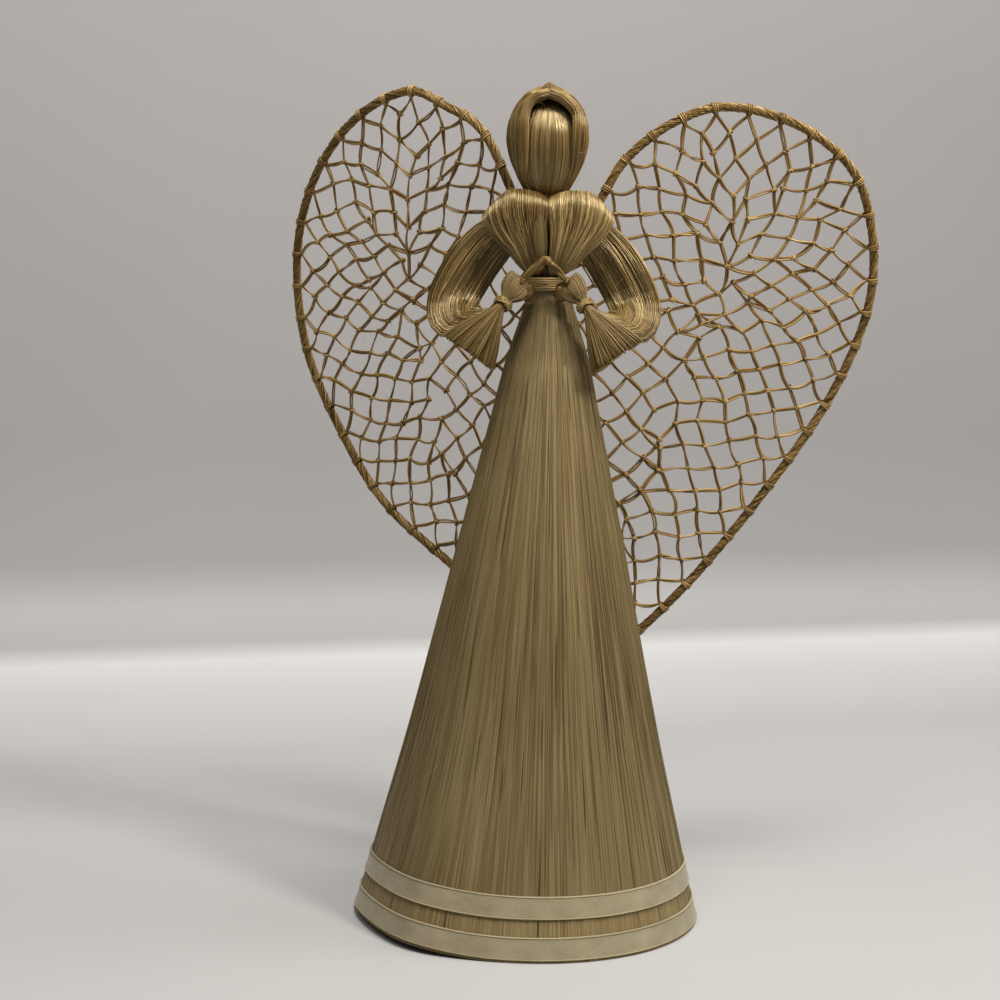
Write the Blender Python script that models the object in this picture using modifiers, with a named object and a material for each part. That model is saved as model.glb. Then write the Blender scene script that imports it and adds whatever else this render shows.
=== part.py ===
"""A standing angel made of combed plant fibre, with two netted wings on a bound frame.

The figure faces -Y, +X is its left hand's side as seen by a viewer on the right, and +Z is up.
"""

import math
import random

import bmesh
import bpy
from mathutils import Vector

MM = 0.001
GAP = 0.3 * MM

# Skirt: a hollow cone of laid fibre, gathered into a collar at the waist.
SKIRT_HEIGHT = 213.5 * MM
SKIRT_FOOT_RADIUS = 60.6 * MM
SKIRT_KNEE_HEIGHT = 70 * MM
SKIRT_KNEE_RADIUS = 42.5 * MM
SKIRT_HIP_DROP = 22 * MM
SKIRT_HIP_RADIUS = 14.7 * MM
SKIRT_WAIST_RADIUS = 7.9 * MM
SKIRT_WALL = 0.9 * MM
SKIRT_LEAN = 1.9 * MM
SKIRT_FIBRE_RELIEF = 0.2 * MM
SKIRT_SIDES = 36
COLLAR_RADIUS = 6.8 * MM
COLLAR_HEIGHT = 5 * MM
COLLAR_SHOULDER = 3.2 * MM
HEM_KINK = 3.2 * MM
HEM_KINK_ANGLE = math.radians(-127)
HEM_KINK_SPREAD = math.radians(17)
HEM_KINK_FADE = 55 * MM
HEM_LIFT = 1.5 * MM

# Ribbons: two flat bands round the hem, each one strip with its ends lapped at the back.
RIBBON_WIDTH = 7.3 * MM
RIBBON_THICKNESS = 0.45 * MM
RIBBON_HEM_MARGIN = 0.9 * MM
RIBBON_SPACING = 5.4 * MM
RIBBON_LAP_STEPS = 2
RIBBON_KINK_SLACK = 0.5 * MM

# Waist, neck and wrist threads.
THREAD = 0.85 * MM
WAIST_TURNS = 5
WRIST_TURNS = 3
WRIST_TIE_RADIUS = 2.9 * MM

# Head: a ball of fibre whose neck and core run down into the collar, under a hood of hair.
CORE_RADIUS = 2.1 * MM
TRUNK_RADIUS = 2.8 * MM
NECK_RADIUS = 4.2 * MM
NECK_RISE = 35 * MM
HEAD_SIDES = 14
HOOD_HEIGHT = 35 * MM
HOOD_RADIUS = 14.1 * MM
HOOD_WALL = 2 * MM
HOOD_SIDES = 18
HOOD_SHAPE = [(0, 0.56), (0.12, 0.75), (0.28, 0.92), (0.46, 1.0), (0.62, 0.965), (0.78, 0.81), (0.91, 0.55),
              (0.985, 0.23)]
FACE_HALF_WIDTH = 7.3 * MM
FACE_OFFSET = 0.9 * MM
FACE_TOP_DROP = 5 * MM
FACE_TAPER = 10 * MM
HAIR_KNOT_RADIUS = 1.5 * MM

# Chest: two bundles that rise from the waist, roll over the shoulders and go down the back.
CHEST_HEIGHT = 32.5 * MM
CHEST_HALF_WIDTH = 20.2 * MM
CHEST_DEPTH = 8.4 * MM
CHEST_BACK_DEPTH = 3.2 * MM
CHEST_THICKNESS = 4.8 * MM
CHEST_CLEFT = 0.7 * MM
CHEST_SHIFT = 0.9 * MM
CHEST_LIP = 0.55 * MM
TAIL_RADIUS = 1.5 * MM

# Arms: a broad ribbon of fibre that leaves the shoulder, bends at the elbow and runs in to the wrist.
ARM_REACH = 40 * MM
ARM_WIDTH = 18 * MM
ARM_THICKNESS = 3.2 * MM
ELBOW_DROP = 15.5 * MM
WRIST_OUT = 13.8 * MM
WRIST_FRONT = 14.3 * MM
WRIST_DROP = 6.5 * MM
SLEEVE_LENGTH = 20 * MM
SLEEVE_WIDTH = 21 * MM
SLEEVE_THICKNESS = 3.2 * MM
HAND_LENGTH = 11 * MM
HAND_WIDTH = 9.6 * MM
HAND_THICKNESS = 3 * MM
TIE_LAYER = 1.4 * MM
TIE_LAYER_HALF = 0.5 * MM
TIE_LAYER_WIDTH = 1.3 * MM
STRAP_RADIUS = 1.15 * MM
STRAP_HALF_SPAN = 7.6 * MM
STRAP_RISE = 7 * MM
GLUE_RADIUS = 1.7 * MM

# Wings: closed loops in a plane that leans with the back of the skirt. Outlines are (out, up) from the
# waist, in millimetres.
FRAME_RADIUS = 1.55 * MM
FRAME_SPAN_STEPS = 2
WING_ROOT = 3.4 * MM
LEFT_SWEEP = math.radians(36)
RIGHT_SWEEP = math.radians(8)
LEFT_OUTLINE = [(0, 8), (11.3, 34), (24, 53.9), (40, 62.6), (58, 68.2), (82.7, 58.1), (101.5, 36.9), (110, 8.6),
                (106, -26), (89.4, -57.5), (67, -85.6), (36.5, -106), (10, -121), (0, -113), (0, -60)]
RIGHT_OUTLINE = [(0, 4), (4.6, 15), (14.8, 28.7), (24.6, 44.9), (42, 58.4), (61.9, 63.5), (89.4, 55.9), (109.4, 37.3),
                 (116.2, 2.3), (106, -34), (82.5, -73.4), (52.3, -113.2), (24, -141), (9, -149), (0, -138),
                 (0, -70)]
LEFT_SPINE = [(56, 34), (52, -5), (41, -47), (27, -80), (14, -104)]
RIGHT_SPINE = [(46, 8), (48, -22), (34, -67), (25, -105), (15, -130)]
NET_ANCHORS = 16
NET_ROWS = [0, 0.17, 0.35, 0.53, 0.71, 0.87]
NET_SPREAD = 0.5
TWINE = 1 * MM
LOWER_TIE_DROP = 92 * MM
LOWER_TIE_TRIALS = 30

WAIST_Z = SKIRT_HEIGHT + COLLAR_SHOULDER
CHEST_FOOT_Z = WAIST_Z + COLLAR_HEIGHT
TIE_OUTER = COLLAR_RADIUS + GAP + THREAD
WAIST_TIE_Z = WAIST_Z + COLLAR_HEIGHT / 2
HIP_Z = SKIRT_HEIGHT - SKIRT_HIP_DROP
SKIRT_TAPER = (SKIRT_KNEE_RADIUS - SKIRT_HIP_RADIUS) / (HIP_Z - SKIRT_KNEE_HEIGHT)
WING_LEAN = math.atan(SKIRT_TAPER)
LASHING_SIDES = 6
LASHING_RADIUS = FRAME_RADIUS + GAP + TWINE * 0.55
LASHING_REACH = LASHING_RADIUS / math.cos(math.pi / LASHING_SIDES) + TWINE / 2
WING_ORIGIN_Y = SKIRT_HIP_RADIUS + GAP + LASHING_REACH - SKIRT_TAPER * (WAIST_TIE_Z - HIP_Z)


def fresh_scene():
    """Removes every object and makes the two collections."""
    for obj in list(bpy.data.objects):
        bpy.data.objects.remove(obj, do_unlink=True)
    made = []
    for name in ("fibre_angel", "cutters"):
        collection = bpy.data.collections.new(name)
        bpy.context.scene.collection.children.link(collection)
        made.append(collection)
    return made


PARTS, CUTTERS = fresh_scene()


def material(name, colour, roughness):
    """A plain Principled material; every colour is linear."""
    made = bpy.data.materials.new(name)
    made.use_nodes = True
    shader = made.node_tree.nodes["Principled BSDF"]
    shader.inputs["Base Color"].default_value = (*colour, 1)
    shader.inputs["Roughness"].default_value = roughness
    shader.inputs["Metallic"].default_value = 0
    return made


SKIRT_FIBRE = material("skirt_fibre", (0.26, 0.20, 0.10), 0.6)
GOLD_FIBRE = material("gold_fibre", (0.46, 0.32, 0.13), 0.42)
HAIR_FIBRE = material("hair_fibre", (0.30, 0.19, 0.07), 0.45)
PALE_FIBRE = material("pale_fibre", (0.40, 0.32, 0.17), 0.6)
RIBBON_CLOTH = material("ribbon_cloth", (0.45, 0.38, 0.25), 0.8)
TWINE_FIBRE = material("twine_fibre", (0.30, 0.17, 0.06), 0.65)
GLUE = material("glue", (0.12, 0.06, 0.02), 0.35)


def solid(name, bm, finish, smooth_angle=40):
    """Turns a bmesh into a named object of the part."""
    bmesh.ops.recalc_face_normals(bm, faces=bm.faces)
    mesh = bpy.data.meshes.new(name)
    bm.to_mesh(mesh)
    bm.free()
    mesh.materials.append(finish)
    mesh.shade_smooth()
    mesh.set_sharp_from_angle(angle=math.radians(smooth_angle))
    obj = bpy.data.objects.new(name, mesh)
    PARTS.objects.link(obj)
    return obj


def loft(name, sections, finish, loop=False):
    """Skins sections of equal point count in order; loop joins the last to the first, else both ends close."""
    bm = bmesh.new()
    rings = [[bm.verts.new(point) for point in section] for section in sections]
    pairs = list(zip(rings, rings[1:]))
    if loop:
        pairs.append((rings[-1], rings[0]))
    for first, second in pairs:
        for i in range(len(first)):
            j = (i + 1) % len(first)
            bm.faces.new((first[i], first[j], second[j], second[i]))
    if not loop:
        bm.faces.new(rings[0])
        bm.faces.new(rings[-1])
    return solid(name, bm, finish)


def spline_point(points, t, closed):
    """A point at t, in spans, on the Catmull-Rom curve through points, which are vectors."""
    count = len(points)
    span = int(math.floor(t))
    f = t - span
    near = []
    for k in (-1, 0, 1, 2):
        index = span + k
        near.append(points[index % count] if closed else points[min(max(index, 0), count - 1)])
    a, b, c, d = near
    return 0.5 * (2 * b + (c - a) * f + (2 * a - 5 * b + 4 * c - d) * f * f + (3 * b - a - 3 * c + d) * f ** 3)


def frame_loop(outline):
    """The wing frame's centreline: points round the closed smooth curve through the outline."""
    count = len(outline) * FRAME_SPAN_STEPS
    return [spline_point(outline, k / FRAME_SPAN_STEPS, True) for k in range(count)]


def round_loop(loop, steps, phase=0.0):
    """Evenly spaced (point, tangent) pairs round a closed loop of straight runs; phase is in steps."""
    lengths = [0]
    for k, point in enumerate(loop):
        lengths.append(lengths[-1] + (loop[(k + 1) % len(loop)] - point).length)
    made = []
    for step in range(steps):
        wanted = lengths[-1] * ((step + phase) / steps % 1)
        k = max(i for i in range(len(loop)) if lengths[i] <= wanted)
        run = loop[(k + 1) % len(loop)] - loop[k]
        made.append((loop[k] + run.normalized() * (wanted - lengths[k]), run.normalized()))
    return made


def bundle(name, sections, finish, points=16, steps=3, relief=0.12):
    """A combed bundle: a loft along smooth sections of (centre, half width vector, half thickness)."""
    centres = [Vector(s[0]) for s in sections]
    widths = [Vector(s[1]) for s in sections]
    depths = [Vector((s[2], 0, 0)) for s in sections]
    last = (len(sections) - 1) * steps
    rings = []
    for step in range(last + 1):
        t = min(step / steps, len(sections) - 1 - 1e-6)
        centre = spline_point(centres, t, False)
        ahead = spline_point(centres, min(t + 0.05, len(sections) - 1 - 1e-6), False)
        behind = spline_point(centres, max(t - 0.05, 0), False)
        width = spline_point(widths, t, False)
        depth = spline_point(depths, t, False).x
        tangent = (ahead - behind).normalized()
        width = width - tangent * width.dot(tangent)
        across = tangent.cross(width).normalized() * depth
        ring = []
        for k in range(points):
            turn = 2 * math.pi * k / points
            groove = 1 - relief * (k % 2)
            ring.append(centre + width * math.cos(turn) + across * math.sin(turn) * groove)
        rings.append(ring)
    return loft(name, rings, finish)


def mesh_copy(obj, name):
    """The evaluated mesh of obj as a plain object of the part, in place of obj."""
    graph = bpy.context.evaluated_depsgraph_get()
    mesh = bpy.data.meshes.new_from_object(obj.evaluated_get(graph))
    finishes = list(obj.data.materials)
    place = obj.matrix_world.copy()
    bpy.data.objects.remove(obj, do_unlink=True)
    mesh.name = name
    if not mesh.materials:
        for finish in finishes:
            mesh.materials.append(finish)
    made = bpy.data.objects.new(name, mesh)
    made.matrix_world = place
    PARTS.objects.link(made)
    return made


def boolean(obj, other, operation):
    """A Boolean modifier whose helper object is hidden as a cutter."""
    modifier = obj.modifiers.new(operation.lower(), "BOOLEAN")
    modifier.operation = operation
    modifier.solver = "EXACT"
    modifier.object = other
    for collection in list(other.users_collection):
        collection.objects.unlink(other)
    CUTTERS.objects.link(other)
    other.hide_render = True
    other.display_type = "WIRE"


def tube(name, points, radius, finish, closed=False, resolution=1):
    """A round rod along points, as a curve object."""
    curve = bpy.data.curves.new(name, "CURVE")
    curve.dimensions = "3D"
    curve.bevel_depth = radius
    curve.bevel_resolution = resolution
    curve.use_fill_caps = not closed
    spline = curve.splines.new("POLY")
    spline.points.add(len(points) - 1)
    for point, place in zip(spline.points, points):
        point.co = (*place, 1)
    spline.use_cyclic_u = closed
    curve.materials.append(finish)
    obj = bpy.data.objects.new(name, curve)
    PARTS.objects.link(obj)
    return obj


def skirt_radius(z):
    """Outer radius of the skirt at height z."""
    stations = [(0, SKIRT_FOOT_RADIUS), (SKIRT_KNEE_HEIGHT, SKIRT_KNEE_RADIUS), (HIP_Z, SKIRT_HIP_RADIUS),
                (SKIRT_HEIGHT, SKIRT_WAIST_RADIUS), (WAIST_Z, COLLAR_RADIUS), (WAIST_Z + COLLAR_HEIGHT, COLLAR_RADIUS)]
    for (low, low_radius), (high, high_radius) in zip(stations, stations[1:]):
        if z <= high:
            return low_radius + (high_radius - low_radius) * (z - low) / (high - low)
    return COLLAR_RADIUS


def kink(angle):
    """How much of the hem's kink is felt at an angle, from 0 to 1."""
    away = math.remainder(angle - HEM_KINK_ANGLE, 2 * math.pi)
    return math.exp(-(away / HEM_KINK_SPREAD) ** 2)


def skirt_point(angle, z, outside=0.0):
    """A point on the skirt, outside by that much from its outer face."""
    fade = max(0.0, 1 - z / HEM_KINK_FADE)
    radius = skirt_radius(z) + outside + HEM_KINK * kink(angle) * fade
    rise = HEM_LIFT * kink(angle) * fade
    sway = SKIRT_LEAN * min(1, z / HIP_Z) if z < WAIST_Z else 0
    return Vector((radius * math.cos(angle) + sway, radius * math.sin(angle), z + rise))


def skirt():
    """The cone and its collar, with the relief of laid fibres down its sides."""
    rng = random.Random(4)
    heights = [0, HEM_KINK_FADE, SKIRT_KNEE_HEIGHT, HIP_Z, SKIRT_HEIGHT, WAIST_Z, WAIST_Z + COLLAR_HEIGHT]
    sections = []
    for side in range(SKIRT_SIDES):
        angle = 2 * math.pi * side / SKIRT_SIDES
        relief = rng.uniform(-SKIRT_FIBRE_RELIEF, 0)
        outer = []
        inner = []
        for z in heights:
            shown = relief if z < SKIRT_HEIGHT else 0
            outer.append(skirt_point(angle, z, shown))
            inner.append(skirt_point(angle, z, shown - SKIRT_WALL))
        sections.append(outer + inner[::-1])
    loft("skirt", sections, SKIRT_FIBRE, loop=True)


def ribbon(name, low):
    """A flat band round the skirt; its second end climbs over the first at the back."""
    lap = RIBBON_LAP_STEPS
    steps = SKIRT_SIDES + lap
    sections = []
    for step in range(steps + 1):
        angle = math.pi / 2 + 2 * math.pi * (step - lap) / SKIRT_SIDES
        climb = 1 if steps - step <= lap else 0
        inner = GAP + RIBBON_KINK_SLACK * kink(angle) + climb * (RIBBON_THICKNESS + GAP)
        outer = inner + RIBBON_THICKNESS
        top = low + RIBBON_WIDTH
        sections.append([skirt_point(angle, low, inner), skirt_point(angle, low, outer),
                         skirt_point(angle, top, outer), skirt_point(angle, top, inner)])
    loft(name, sections, RIBBON_CLOTH)


def hood_radius(rise):
    """Outer radius of the hair at a share of the hood's height."""
    for (low, low_share), (high, high_share) in zip(HOOD_SHAPE, HOOD_SHAPE[1:]):
        if rise <= high:
            return HOOD_RADIUS * (low_share + (high_share - low_share) * (rise - low) / (high - low))
    return HOOD_RADIUS * HOOD_SHAPE[-1][1]


def turned(name, profile, finish, steps):
    """A solid of revolution from a profile of (radius, z) that runs down its outer side."""
    mesh = bpy.data.meshes.new(name)
    edges = [(k, k + 1) for k in range(len(profile) - 1)]
    mesh.from_pydata([(radius, 0, z) for radius, z in profile], edges, [])
    mesh.materials.append(finish)
    obj = bpy.data.objects.new(name, mesh)
    PARTS.objects.link(obj)
    screw = obj.modifiers.new("turn", "SCREW")
    screw.steps = steps
    screw.render_steps = steps
    screw.use_merge_vertices = True
    screw.merge_threshold = 0.00001
    screw.use_normal_calculate = True
    return obj


HOOD_Z = WAIST_Z + NECK_RISE
HOOD_TOP_Z = HOOD_Z + HOOD_HEIGHT


def head_bundle():
    """The face ball, its neck, the trunk between the chest bundles and the core in the collar."""
    wall = HOOD_WALL + 2 * GAP
    top_share = 1 - 2.6 * wall / HOOD_HEIGHT
    profile = [(0, HOOD_TOP_Z - 1.4 * wall)]
    for k in range(7, 0, -1):
        share = top_share * k / 7
        radius = hood_radius(share) - wall * (1 + 0.9 * share ** 3)
        profile.append((max(radius, NECK_RADIUS), HOOD_Z + share * HOOD_HEIGHT))
    neck_z = HOOD_Z - 2 * THREAD
    profile += [(NECK_RADIUS, neck_z), (TRUNK_RADIUS, neck_z - 3 * MM), (TRUNK_RADIUS, CHEST_FOOT_Z + 4 * MM),
                (CORE_RADIUS, CHEST_FOOT_Z), (CORE_RADIUS, SKIRT_HEIGHT), (0, SKIRT_HEIGHT)]
    turned("head_bundle", profile, GOLD_FIBRE, HEAD_SIDES)


def hair_hood():
    """A shell of hair over the head, open below and cut away in front of the face."""
    profile = [(0, HOOD_TOP_Z)]
    for share, _ in HOOD_SHAPE[::-1]:
        profile.append((hood_radius(share), HOOD_Z + share * HOOD_HEIGHT))
    hood = turned("hair_hood", profile, HAIR_FIBRE, HOOD_SIDES)
    shell = hood.modifiers.new("shell", "SOLIDIFY")
    shell.thickness = HOOD_WALL
    shell.offset = -1
    curve = bpy.data.curves.new("face_opening", "CURVE")
    curve.dimensions = "2D"
    curve.fill_mode = "BOTH"
    curve.extrude = HOOD_RADIUS
    spline = curve.splines.new("POLY")
    peak = HOOD_TOP_Z - FACE_TOP_DROP
    outline = [(0, peak)]
    for k in range(1, 5):
        turn = math.pi / 2 * k / 4
        outline.append((math.sin(turn) ** 0.9 * FACE_HALF_WIDTH, peak - FACE_TAPER * (1 - math.cos(turn))))
    outline.append((FACE_HALF_WIDTH, HOOD_Z - HOOD_WALL))
    outline += [(-x, z) for x, z in outline[:0:-1]]
    spline.points.add(len(outline) - 1)
    for point, (x, z) in zip(spline.points, outline):
        point.co = (x + FACE_OFFSET, z, 0, 1)
    spline.use_cyclic_u = True
    flat = bpy.data.objects.new("face_flat", curve)
    PARTS.objects.link(flat)
    flat.rotation_euler = (math.pi / 2, 0, 0)
    flat.location = (0, -HOOD_RADIUS - HOOD_WALL / 2, 0)
    bpy.context.view_layer.update()
    cutter = mesh_copy(flat, "face_opening")
    bm = bmesh.new()
    bm.from_mesh(cutter.data)
    bmesh.ops.remove_doubles(bm, verts=bm.verts, dist=0.00001)
    bmesh.ops.recalc_face_normals(bm, faces=bm.faces)
    bm.to_mesh(cutter.data)
    bm.free()
    boolean(hood, cutter, "DIFFERENCE")


def wound_band(name, outline, axis, turns, finish):
    """Turns of thread lying side by side along axis, round a closed outline of points."""
    middle = sum(outline, Vector()) / len(outline)
    sections = []
    for k, point in enumerate(outline):
        tangent = (outline[(k + 1) % len(outline)] - outline[k - 1]).normalized()
        out = tangent.cross(axis).normalized()
        if out.dot(point - middle) < 0:
            out = -out
        section = []
        for row in range(turns):
            along = (row - (turns - 1) / 2) * THREAD
            section.append(point + axis * (along - THREAD / 2) + out * THREAD * 0.18)
            section.append(point + axis * along + out * THREAD / 2)
        section.append(point + axis * (turns / 2) * THREAD + out * THREAD * 0.18)
        section.append(point + axis * (turns / 2) * THREAD - out * THREAD / 2)
        section.append(point - axis * (turns / 2) * THREAD - out * THREAD / 2)
        sections.append(section)
    loft(name, sections, finish, loop=True)


def circle(centre, radius, axis, count):
    """Corners of a regular outline about axis whose sides lie at radius."""
    first = axis.orthogonal().normalized() * radius / math.cos(math.pi / count)
    second = axis.cross(first)
    made = []
    for k in range(count):
        turn = 2 * math.pi * k / count
        made.append(centre + first * math.cos(turn) + second * math.sin(turn))
    return made


def hull_outline(circles, z, count):
    """The taut loop round several circles of (x, y, radius) at height z, seen by its support in each direction."""
    made = []
    for k in range(count):
        turn = 2 * math.pi * k / count
        away = Vector((math.cos(turn), math.sin(turn), 0))
        best = max(circles, key=lambda c: c[0] * away.x + c[1] * away.y + c[2])
        made.append(Vector((best[0], best[1], z)) + away * best[2])
    return made


UP = Vector((0, 0, 1))


def wing_plane(side, sweep):
    """Origin, outward direction and upward direction of a wing's plane."""
    origin = Vector((side * WING_ROOT, WING_ORIGIN_Y, WAIST_TIE_Z))
    out = Vector((side * math.cos(sweep), math.sin(sweep), 0))
    up = Vector((0, -math.sin(WING_LEAN), math.cos(WING_LEAN)))
    return origin, out, up


def flat_points(pairs):
    """Outline pairs in millimetres as vectors in metres."""
    return [Vector((u, v, 0)) * MM for u, v in pairs]


def spine_point(spine, share):
    """A point at a share of the way down the net's gathered middle line."""
    return spline_point(spine, min(share, 0.9999) * (len(spine) - 1), False)


def nearest_share(spine, point):
    """The share of the middle line that lies nearest to a point."""
    shares = [k / 60 for k in range(61)]
    return min(shares, key=lambda share: (spine_point(spine, share) - point).length)


def inward_of(point, tangent, hub):
    """The direction across the frame, at a point on it, that points into the wing."""
    across = Vector((-tangent.y, tangent.x, 0))
    return across if across.dot(hub - point) > 0 else -across


def lashing_phase(loop):
    """The least shift of the lashings, in steps, that keeps them out from under the waist thread."""
    band = THREAD * WAIST_TURNS / 2 + TWINE + 2 * GAP
    for trial in range(20):
        phase = 0.5 + trial / 20
        spots = [point for point, _ in round_loop(loop, NET_ANCHORS, phase)]
        if all(abs(p.y) > band or p.x > 4 * LASHING_REACH for p in spots):
            return phase
    return 0.5


def net_rings(loop, spine, phase):
    """Rings of knots from the frame inwards. Each ring sits half a step round from the one before it."""
    hub = spine_point(spine, 0.5)
    fine = NET_ANCHORS * 2
    spots = round_loop(loop, fine, 2 * phase)
    top = max(range(fine), key=lambda k: spots[k][0].y)
    foot = min(range(fine), key=lambda k: spots[k][0].y)
    rings = []
    for row, share in enumerate(NET_ROWS):
        ring = []
        for anchor in range(NET_ANCHORS):
            k = (2 * anchor + row % 2) % fine
            point, tangent = spots[k]
            edge = point + inward_of(point, tangent, hub) * (LASHING_RADIUS + TWINE * 0.1)
            one_way = (k - top) % fine / ((foot - top) % fine)
            other_way = (top - k) % fine / ((top - foot) % fine)
            even = one_way if one_way <= 1 else other_way
            down = even * NET_SPREAD + nearest_share(spine, edge) * (1 - NET_SPREAD)
            ring.append(edge.lerp(spine_point(spine, down), share))
        rings.append(ring)
    return rings


def wing_net(name, loop, spine, plane):
    """Knotted diamonds worked inwards from lashings round the frame, drawn together across the middle line."""
    origin, out, up = plane
    phase = lashing_phase(loop)
    rings = net_rings(loop, spine, phase)
    bm = bmesh.new()
    verts = [[bm.verts.new(origin + out * p.x + up * p.y) for p in ring] for ring in rings]
    for row in range(len(rings) - 2):
        for k in range(NET_ANCHORS):
            step = 0 if row % 2 else -1
            before = verts[row + 1][(k + step) % NET_ANCHORS]
            after = verts[row + 1][(k + step + 1) % NET_ANCHORS]
            bm.faces.new((verts[row][k], before, verts[row + 2][k], after))
    close_middle(bm, verts, rings)
    sheet = solid(name + "_sheet", bm, TWINE_FIBRE)
    wire = sheet.modifiers.new("strands", "WIREFRAME")
    wire.thickness = TWINE
    wire.use_even_offset = False
    wire.use_boundary = True
    net = mesh_copy(sheet, name)
    weld(net)
    rods = bmesh.new()
    hub = spine_point(spine, 0.5)
    for point, tangent in round_loop(loop, NET_ANCHORS, phase):
        inward = inward_of(point, tangent, hub)
        add_ring(rods, origin + out * point.x + up * point.y, out * tangent.x + up * tangent.y,
                 out * inward.x + up * inward.y, LASHING_RADIUS, TWINE / 2)
    lashings = solid(name + "_lashings", rods, TWINE_FIBRE)
    boolean(net, lashings, "UNION")


def close_middle(bm, verts, rings):
    """Fills the last ring: triangles to the ring before it, then cells from side to side of the middle line."""
    last = len(rings) - 1
    count = NET_ANCHORS
    step = 0 if (last - 1) % 2 else -1
    for k in range(count):
        first = verts[last][(k + step) % count]
        second = verts[last][(k + step + 1) % count]
        bm.faces.new((verts[last - 1][k], first, second))
    high = max(range(count), key=lambda k: rings[last][k].y + rings[last][k - 1].y)
    for m in range(count // 2 - 1):
        near = verts[last][(high + m) % count]
        near_next = verts[last][(high + m + 1) % count]
        far = verts[last][(high - 1 - m) % count]
        far_next = verts[last][(high - 2 - m) % count]
        bm.faces.new((near, near_next, far_next, far))


def weld(obj):
    """Joins the loose caps of a tube."""
    bm = bmesh.new()
    bm.from_mesh(obj.data)
    bmesh.ops.remove_doubles(bm, verts=bm.verts, dist=0.00001)
    bmesh.ops.recalc_face_normals(bm, faces=bm.faces)
    bm.to_mesh(obj.data)
    bm.free()


def add_ring(bm, centre, axis, inward, radius, thickness):
    """A small torus of triangular section about axis, with the middle of one of its sides facing inward."""
    count = LASHING_SIDES
    reach = radius / math.cos(math.pi / count)
    across = axis.cross(inward)
    rows = []
    for k in range(count):
        turn = 2 * math.pi * (k + 0.5) / count
        away = inward * math.cos(turn) + across * math.sin(turn)
        rows.append([bm.verts.new(centre + away * (reach - thickness)),
                     bm.verts.new(centre + away * (reach + thickness) + axis * thickness),
                     bm.verts.new(centre + away * (reach + thickness) - axis * thickness)])
    for k in range(count):
        first = rows[k]
        second = rows[(k + 1) % count]
        for j in range(3):
            bm.faces.new((first[j], first[(j + 1) % 3], second[(j + 1) % 3], second[j]))


def wing(word, side, outline_mm, spine_mm, sweep):
    """One wing: the bound loop and its net."""
    plane = wing_plane(side, sweep)
    origin, out, up = plane
    loop = frame_loop(flat_points(outline_mm))
    tube("wing_frame_" + word, [origin + out * p.x + up * p.y for p in loop], FRAME_RADIUS, TWINE_FIBRE, closed=True)
    wing_net("wing_net_" + word, loop, flat_points(spine_mm), plane)


def lower_tie_drop():
    """How far down the wing roots the lower tie goes: the place that lies farthest from any lashing."""
    taken = []
    for outline_mm in (LEFT_OUTLINE, RIGHT_OUTLINE):
        loop = frame_loop(flat_points(outline_mm))
        for point, _ in round_loop(loop, NET_ANCHORS, lashing_phase(loop)):
            if point.x < 4 * LASHING_REACH:
                taken.append(-point.y)
    trials = [LOWER_TIE_DROP + step * THREAD / 2 for step in range(-LOWER_TIE_TRIALS, LOWER_TIE_TRIALS + 1)]
    return max(trials, key=lambda drop: min(abs(drop - place) for place in taken))


def ties():
    """The waist thread round collar and wing roots, the lower wing tie and the neck thread."""
    held = COLLAR_RADIUS + GAP + THREAD / 2
    rod = FRAME_RADIUS + 1.5 * GAP + THREAD / 2
    tall = rod + SKIRT_TAPER * THREAD * WAIST_TURNS / 2
    roots = [(side * WING_ROOT, WING_ORIGIN_Y, tall) for side in (-1, 1)]
    outline = hull_outline([(0, 0, held)] + roots, WAIST_TIE_Z, 16)
    wound_band("waist_tie", outline, UP, WAIST_TURNS, PALE_FIBRE)
    drop = lower_tie_drop()
    low_y = WING_ORIGIN_Y + drop * math.sin(WING_LEAN)
    low_z = WAIST_TIE_Z - drop * math.cos(WING_LEAN)
    low_roots = [(side * WING_ROOT, low_y, rod + SKIRT_TAPER * THREAD) for side in (-1, 1)]
    wound_band("wing_tie_lower", hull_outline(low_roots, low_z, 10), UP, 2, TWINE_FIBRE)
    neck = circle(Vector((0, 0, HOOD_Z - 2.4 * THREAD)), NECK_RADIUS + GAP + THREAD / 2, UP, 12)
    wound_band("neck_tie", neck, UP, 1, PALE_FIBRE)
    knot = circle(Vector((FACE_OFFSET, 0, HOOD_TOP_Z + GAP + THREAD)), HAIR_KNOT_RADIUS - THREAD / 2, UP, 8)
    wound_band("hair_knot", knot, UP, 2, HAIR_FIBRE)


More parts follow.
